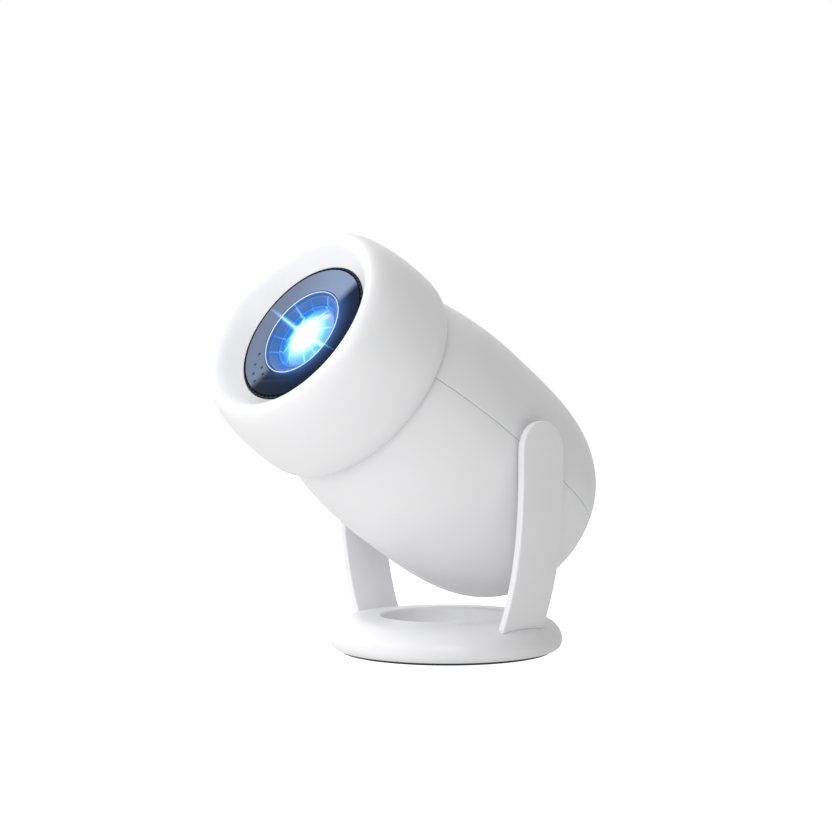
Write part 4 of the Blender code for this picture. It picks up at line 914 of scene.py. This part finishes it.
def make_lens_barrel():
    """The tube, the front lens that bulges in it and the ring that holds the lens."""
    low, high, bore, outer = span("lens_barrel")
    lens_low, lens_high, _, lens_radius = span("front_lens")
    # The tube and the lens retainer carry painted glow of the beam, though they are no lamp.
    hood_material = painted_glow("lens_barrel_lit", (0.01, 0.012, 0.02), 0.32, PAINTED_BEAM_GLOW, 1.0)[0]
    seat = lens_radius + 0.4 * MM
    step_back = lens_low.z - GAP
    outline = fillet([(outer, low.z, EDGE), (outer, high.z, 0.35 * MM),
                      (outer - 0.95 * MM, high.z, 0.25 * MM), (seat, high.z - 2.4 * MM, EDGE),
                      (seat, step_back), (bore, step_back), (bore, REAR_LENS_SEAT),
                      (REAR_LENS_BORE, REAR_LENS_SEAT), (REAR_LENS_BORE, low.z, EDGE)], steps=4)
    add_turned("lens_barrel_tube", outline, hood_material, 128, "lens_unit", "lens_barrel")

    edge = lens_low.z + 1.8 * MM
    outline = [(0, lens_low.z), (lens_radius - EDGE, lens_low.z), (lens_radius, lens_low.z + EDGE)]
    steps = 28
    for step in range(steps + 1):
        share = 1 - step / steps
        outline.append((lens_radius * share, edge + (lens_high.z - edge) * (1 - share * share)))
    lens = turned("front_lens_glass", outline, lens_material(), HEAD, 96)
    settle(lens, "lens_unit", "front_lens")

    low, high, inner, outer = span("lens_retainer")
    outline = fillet([(inner, low.z, 0.15 * MM), (outer, low.z), (outer, high.z, SMALL_EDGE),
                      (inner + EDGE, high.z, SMALL_EDGE)], steps=3)
    add_turned("lens_retainer_ring", outline, hood_material, 96,
               "lens_unit", "lens_retainer")


make_lens_plate()
make_light_ring()
make_focus_ring()
make_lens_barrel()

# ---- rear panel

PANEL_DOME_EDGE = 31.5 * MM
PANEL_RIM = -72.3 * MM
PANEL_INSIDE = ((29.7 * MM, 0.0), (29.5 * MM, -1.5 * MM), (0.0, -3.5 * MM))
SLOT_ROWS = 5
SLOT_FIRST_ROW = -4.0 * MM
SLOT_PITCH = 4.6 * MM
SLOT_HEIGHT = 1.8 * MM
SLOT_MIDDLE_RIB = 1.2 * MM
SLOT_FIELD_RADIUS = 27.0 * MM
SCREW_HOLE = 1.4 * MM
PANEL_CHAMFER = 0.12 * MM
SCREW_HEAD = 1.2 * MM
SCREW_SHANK = 1.1 * MM
POWER_RING = (1.45 * MM, 1.95 * MM)
POWER_RING_SWEEP = math.radians(290)
POWER_RING_START = math.radians(125)
MARK_HEIGHT = 0.4 * MM


def prism_tool(name, outlines, low, high, place=HEAD):
    """Straight-sided cutters from 2D outlines."""
    mesh_edit = bmesh.new()
    for outline in outlines:
        lower = [mesh_edit.verts.new((x, y, low)) for x, y in outline]
        upper = [mesh_edit.verts.new((x, y, high)) for x, y in outline]
        mesh_edit.faces.new(lower)
        mesh_edit.faces.new(upper)
        for index in range(len(outline)):
            follower = (index + 1) % len(outline)
            mesh_edit.faces.new([lower[index], lower[follower], upper[follower], upper[index]])
    return piece_from(name, mesh_from_bmesh(name, mesh_edit), None, place)


def socket_outline(centre, width, height, corner, chamfer=0.0):
    """A rectangle with round corners; a chamfer slants its two lower corners."""
    x, y = centre[:2]
    left, right = x - width / 2, x + width / 2
    bottom, top = y - height / 2, y + height / 2
    corners = [(left + chamfer, bottom, corner), (right - chamfer, bottom, corner)]
    if chamfer:
        corners.append((right, bottom + chamfer, corner))
    corners += [(right, top, corner), (left, top, corner)]
    if chamfer:
        corners.append((left, bottom + chamfer, corner))
    return fillet(corners, steps=4)


def panel_holes():
    """Outlines of every hole in the rear panel: vents, sockets, window, button and screws."""
    outlines = []
    for row in range(SLOT_ROWS):
        height = SLOT_FIRST_ROW + SLOT_PITCH * row
        half = math.sqrt(SLOT_FIELD_RADIUS ** 2 - (abs(height) + SLOT_HEIGHT / 2) ** 2)
        outlines.append(slot_outline(-half, -SLOT_MIDDLE_RIB, SLOT_HEIGHT, height))
        outlines.append(slot_outline(SLOT_MIDDLE_RIB, half, SLOT_HEIGHT, height))
    for node in ("hdmi_socket", "usb_socket"):
        low, high, _, _ = span(node)
        size = high - low
        outlines.append(socket_outline((low + high) / 2, size.x + 2 * GAP, size.y + 2 * GAP, 0.6 * MM))
    for node in ("dc_socket", "audio_socket", "ir_window", "power_button"):
        low, high, radius, _ = round_place(node)
        outlines.append(circle(radius + GAP, 64, ((low + high) / 2).xy))
    for number in (1, 2, 3):
        low, high, _, _ = span(f"rear_screw_{number}")
        outlines.append(circle(SCREW_HOLE, 32, ((low + high) / 2).xy))
    return outlines


def make_panel():
    low, high, _, radius = span("rear_panel")
    crown_edge = PANEL_DOME_EDGE - 0.7 * MM
    rise = (PANEL_RIM - 1.3 * MM - low.z) / crown_edge ** 2
    outline = []
    steps = 24
    for step in range(steps + 1):
        reach = crown_edge * step / steps
        outline.append((reach, low.z + rise * reach ** 2))
    rim = [outline[-1], (PANEL_DOME_EDGE - 0.1 * MM, PANEL_RIM - 0.9 * MM, 0.5 * MM),
           (PANEL_DOME_EDGE, PANEL_RIM, EDGE), (radius, PANEL_RIM, 0.5 * MM), (radius, high.z, SMALL_EDGE)]
    outline += fillet(rim, False, 4)[1:]
    outline += [(reach, high.z + depth) for reach, depth in PANEL_INSIDE]
    panel = turned("rear_panel_skin", outline, panel_plastic, HEAD, 144)
    cut(panel, [prism_tool("panel_tool", panel_holes(), low.z - 4 * MM, high.z + 2 * MM)])
    edge = panel.modifiers.new("edge", "BEVEL")
    edge.width = PANEL_CHAMFER
    edge.segments = 1
    edge.limit_method = "ANGLE"
    edge.angle_limit = math.radians(60)
    bake(panel)
    settle(panel, "head", "rear_panel")


def make_box_socket(node, mouth, tongue_width, tongue_lift, chamfer):
    """A folded steel shell round a black insert with a contact tongue."""
    low, high, _, _ = span(node)
    size = high - low
    centre = (low + high) / 2
    wall = (size.y - mouth) / 2
    rim = [socket_outline(centre, size.x, size.y, 0.5 * MM),
           socket_outline(centre, size.x - 2 * wall, mouth, EDGE, chamfer)]
    shell = flat_plate(f"{node}_shell", rim, low.z, high.z, 0.12 * MM, steel)
    settle(shell, "head", node)
    insert_mesh = bmesh.new()
    half_x = size.x / 2 - wall - 0.05 * MM
    half_y = mouth / 2 - 0.05 * MM
    add_block(insert_mesh, (centre.x - half_x + chamfer, centre.y - half_y, high.z - 2.5 * MM),
              (centre.x + half_x - chamfer, centre.y + half_y, high.z - 0.3 * MM), HAIR_EDGE)
    lift = centre.y + tongue_lift
    add_block(insert_mesh, (centre.x - tongue_width / 2, lift - 0.6 * MM, low.z + 1.5 * MM),
              (centre.x + tongue_width / 2, lift + 0.6 * MM, high.z - 1.5 * MM), SMALL_EDGE)
    insert = piece_from(f"{node}_insert", mesh_from_bmesh("insert", insert_mesh), black_plastic, HEAD)
    settle(insert, "head")


def make_round_socket(node, mouth, pin_radius):
    """A black jack with a steel pin, or with a steel lining where there is no pin."""
    low, high, radius, place = round_place(node)
    floor = high.z - 2 * MM
    outline = fillet([(0, floor), (mouth, floor, SMALL_EDGE), (mouth, low.z + 0.4 * MM, SMALL_EDGE),
                      (mouth + 0.4 * MM, low.z, SMALL_EDGE), (radius, low.z, 0.25 * MM),
                      (radius, high.z, SMALL_EDGE), (0, high.z)], False, 3)
    add_turned(f"{node}_body", outline, black_plastic, 64, "head", node, place)
    if pin_radius:
        tip = low.z + 1.6 * MM
        pin = fillet([(0, tip), (pin_radius, tip, 0.4 * MM), (pin_radius, floor), (0, floor)], False, 4)
        add_turned(f"{node}_pin", pin, steel, 32, "head", place=place)
    else:
        lining = ring_outline(mouth - 0.25 * MM, mouth - 0.02 * MM, low.z + 1.2 * MM, floor, 0.05 * MM)
        add_turned(f"{node}_lining", lining, steel, 48, "head", place=place)


def make_button():
    """A dished cap with a raised power mark: a broken ring and a bar."""
    low, high, radius, place = round_place("power_button")
    dish = 0.25 * MM
    steps = 8
    outline = []
    for step in range(steps + 1):
        outline.append((radius * 0.8 * step / steps, low.z + dish * (1 - (step / steps) ** 2)))
    rim = [outline[-1], (radius, low.z, 0.6 * MM), (radius, high.z, HAIR_EDGE), (0, high.z)]
    outline += fillet(rim, False, 5)[1:]
    add_turned("power_button_cap", outline, panel_plastic, 72,
               "power_button", "power_button", place)
    mark_mesh = bmesh.new()
    base = low.z + 0.05 * MM
    top = base + MARK_HEIGHT
    inner, outer = POWER_RING
    lathe_mesh(mark_mesh, [(inner, base), (outer, base), (outer, top), (inner, top)], 48, POWER_RING_SWEEP,
               POWER_RING_START)
    add_block(mark_mesh, (-0.25 * MM, 0.4 * MM, base), (0.25 * MM, 2.3 * MM, top), 0.08 * MM)
    mark = piece_from("power_mark", mesh_from_bmesh("power_mark", mark_mesh), black_plastic, place)
    settle(mark, "power_button")


def make_window():
    low, high, radius, place = round_place("ir_window")
    steps = 10
    outline = [(radius * step / steps, low.z + 0.5 * MM * (step / steps) ** 2) for step in range(steps + 1)]
    outline += [(radius, high.z), (0, high.z)]
    add_turned("ir_window_lens", outline, window_plastic, 48, "head", "ir_window", place)


def make_screw(node):
    """A pan-head screw with a cross recess."""
    low, high, radius, place = round_place(node)
    collar = low.z + SCREW_HEAD
    outline = [(0, low.z)]
    outline += fillet([(radius * 0.5, low.z), (radius, low.z + 0.25 * MM, 0.6 * MM),
                       (radius, collar, HAIR_EDGE), (SCREW_SHANK, collar), (SCREW_SHANK, high.z - 1 * MM),
                       (0.2 * MM, high.z), (0, high.z)], False, 4)
    screw = turned(f"{node}_turned", outline, steel, place, 48)
    for across, along in ((0.22 * MM, 1.15 * MM), (1.15 * MM, 0.22 * MM)):
        bottom = low.z + 0.7 * MM
        cut(screw, [block_tool("recess", (-across, -along, low.z - 1 * MM), (across, along, bottom), place)])
    settle(screw, "head", node)


make_panel()
make_box_socket("hdmi_socket", 4.8 * MM, 10.5 * MM, 0.3 * MM, 1.2 * MM)
make_box_socket("usb_socket", 5.2 * MM, 11.0 * MM, 1.0 * MM, 0.0)
make_round_socket("dc_socket", 2.9 * MM, 0.9 * MM)
make_round_socket("audio_socket", 1.8 * MM, 0.0)
make_button()
make_window()
for number in (1, 2, 3):
    make_screw(f"rear_screw_{number}")

# ---- hinges, and parts inside the casing

WASHER_EDGE = 0.08 * MM
BUSH_SLEEVE = 6.9 * MM
BUSH_FLANGE = 1.0 * MM
PIN_RADIUS = 4.5 * MM
PIN_FLANGE = 1.3 * MM


def make_hinges():
    """Bush and washer that show in the gap between barrel and arm, and the pin inside them."""
    for word, side in (("left", -1), ("right", 1)):
        turn = Matrix.Translation(TILT_POINT) @ Matrix.Rotation(side * math.pi / 2, 4, "Y")
        undo = turn.inverted()
        low, high, bore, outer = span(f"hinge_bush_{word}", undo)
        flange = high.z - BUSH_FLANGE
        outline = fillet([(bore, low.z, SMALL_EDGE), (BUSH_SLEEVE, low.z, EDGE), (BUSH_SLEEVE, flange),
                          (outer, flange, SMALL_EDGE), (outer, high.z, 0.25 * MM),
                          (bore, high.z, SMALL_EDGE)], steps=3)
        add_turned(f"hinge_bush_{word}_turned", outline, nylon, 96,
                   "head", f"hinge_bush_{word}", turn)
        low, high, bore, outer = span(f"friction_washer_{word}", undo)
        outline = ring_outline(bore, outer, low.z, high.z, WASHER_EDGE)
        add_turned(f"friction_washer_{word}_turned", outline, steel, 96,
                   "stand", f"friction_washer_{word}", turn)
        low, high, _, outer = span(f"hinge_pin_{word}", undo)
        flange = high.z - PIN_FLANGE
        outline = fillet([(0, low.z), (PIN_RADIUS, low.z, 0.6 * MM), (PIN_RADIUS, flange),
                          (outer, flange, SMALL_EDGE), (outer, high.z, SMALL_EDGE), (0, high.z)], False, 4)
        add_turned(f"hinge_pin_{word}_turned", outline, steel, 96,
                   "stand", f"hinge_pin_{word}", turn)


def dress_inside():
    """Parts inside the casing keep their CAD shape and take the material of their slot."""
    clear = moulded("clear_acrylic", (0.86, 0.92, 0.95), 0.12, grain_scale=900.0, grain=0.3, coat=0.3)
    glass = moulded("inner_glass", (0.70, 0.82, 0.92), 0.05, grain=0.01, coat=0.5)
    lcd = moulded("lcd_glass", (0.03, 0.03, 0.04), 0.08, grain=0.01, coat=0.5)
    film = moulded("film_cable", (0.62, 0.38, 0.10), 0.35, grain_scale=700.0, grain=0.1)
    phosphor = moulded("led_phosphor", (0.92, 0.78, 0.22), 0.6, grain_scale=1500.0, grain=0.3)
    paper = moulded("cone_paper", (0.10, 0.10, 0.10), 0.85, grain_scale=500.0, grain=0.6, mottle=0.2)
    looks = {
        black_plastic: ("base_cover", "mid_frame", "lens_holder", "lamp_housing", "front_hood", "fan_frame",
                        "fan_rotor", "speaker_frame"),
        steel: ("base_weight", "arm_screw_left", "arm_screw_right", "hinge_nut_left", "hinge_nut_right",
                "ring_screw_1", "ring_screw_2", "ring_screw_3"),
        aluminium: ("led_heat_sink", "soc_heat_sink", "led_board"),
        board: ("main_board", "port_board"),
        clear: ("fresnel_rear", "fresnel_front"),
        glass: ("rear_lens", "collimator_lens"),
        lcd: ("lcd_panel",),
        film: ("lcd_ribbon",),
        phosphor: ("led_chip",),
        paper: ("speaker_cone",),
    }
    for material, nodes in looks.items():
        for node in nodes:
            mesh = frame["nodes"][node].data
            mesh.materials.clear()
            mesh.materials.append(material)


make_hinges()
dress_inside()

# ---- camera, light and floor

CAMERA_AZIMUTH = math.radians(45.54)
CAMERA_ELEVATION = math.radians(-0.35)
CAMERA_DISTANCE = 763.6 * MM
CAMERA_LENS = 66.9
AIM_SIDEWAYS = -14.7 * MM
AIM_HEIGHT = 115.24 * MM
# Soft light towards each direction, given as steps to the camera's right, up and back, with its strength
STUDIO_LIGHT = (((-0.8, -0.6, 0.0), 0.46), ((-0.7, 0.7, 0.0), 1.28), ((0.0, 0.0, -1.0), 0.93))
FLOOR_GLOW = 0.36
FLOOR_SIZE = 12
# Disk size in metres and power in watts
KEY_LIGHT = (0.5, 2.3)
FILL_LIGHT = (0.3, 0.45)


def make_camera():
    right = Vector((math.cos(CAMERA_AZIMUTH), math.sin(CAMERA_AZIMUTH), 0))
    back = Vector((math.sin(CAMERA_AZIMUTH) * math.cos(CAMERA_ELEVATION),
                   -math.cos(CAMERA_AZIMUTH) * math.cos(CAMERA_ELEVATION), math.sin(CAMERA_ELEVATION)))
    camera = bpy.data.objects.new("camera", bpy.data.cameras.new("camera"))
    bpy.context.scene.collection.objects.link(camera)
    placed = Matrix((right, back.cross(right), back)).transposed().to_4x4()
    placed.translation = right * AIM_SIDEWAYS + Vector((0, 0, AIM_HEIGHT)) + back * CAMERA_DISTANCE
    camera.matrix_world = placed
    camera.data.lens = CAMERA_LENS
    camera.data.sensor_width = 36
    camera.data.clip_start = 0.01
    bpy.context.scene.camera = camera
    return right, back


def seen_by_camera(tree, others, camera_value):
    """One value for what the camera sees directly, another for all other light."""
    seen = add(tree, "ShaderNodeLightPath").outputs["Is Camera Ray"]
    choice = add(tree, "ShaderNodeMix", {0: seen, 2: others, 3: camera_value}, data_type="FLOAT")
    return choice.outputs[0]


def make_world(right, back):
    """A pale studio: the background is plain white, and the soft light comes mostly from the left."""
    world = bpy.data.worlds.new("studio")
    bpy.context.scene.world = world
    world.use_nodes = True
    tree = world.node_tree
    background = tree.nodes["Background"]
    direction = add(tree, "ShaderNodeTexCoord").outputs["Generated"]
    level = 0.0
    for (sideways, upward, backward), strength in STUDIO_LIGHT:
        toward = right * sideways + Vector((0, 0, upward)) + back * backward
        facing = math_node(tree, "MAXIMUM", dot(tree, direction, tuple(toward)), 0.0)
        lobe = math_node(tree, "MULTIPLY", facing, strength)
        level = math_node(tree, "ADD", lobe, level)
    tree.links.new(seen_by_camera(tree, level, 1.0), background.inputs["Strength"])
    background.inputs["Color"].default_value = (1, 1, 1, 1)


def make_floor():
    bpy.ops.mesh.primitive_plane_add(size=FLOOR_SIZE, location=(0, 0, 0))
    floor = bpy.context.object
    floor.name = "floor"
    pale, tree, shader = shader_of("floor_paper", (0.5, 0.5, 0.5), 0.9)
    shader.inputs["Emission Color"].default_value = (1, 1, 1, 1)
    tree.links.new(seen_by_camera(tree, FLOOR_GLOW, 1.0), shader.inputs["Emission Strength"])
    shader.inputs["Specular IOR Level"].default_value = 0.0
    floor.data.materials.append(pale)


def area_light(name, place, target, size, power):
    light = bpy.data.objects.new(name, bpy.data.lights.new(name, "AREA"))
    light.data.shape = "DISK"
    light.data.size = size
    light.data.energy = power
    light.location = place
    light.rotation_mode = "QUATERNION"
    light.rotation_quaternion = (Vector(target) - Vector(place)).to_track_quat("-Z", "Y")
    bpy.context.scene.collection.objects.link(light)


right, back = make_camera()
make_world(right, back)
make_floor()
area_light("key", back * 0.9 + Vector((0, 0, 0.35)), (0, -0.05, 0.12), *KEY_LIGHT)
area_light("fill", -right * 0.45 + back * 0.35 + Vector((0, 0, 0.3)), (-0.02, -0.09, 0.15), *FILL_LIGHT)
bpy.context.scene.view_settings.view_transform = "Standard"
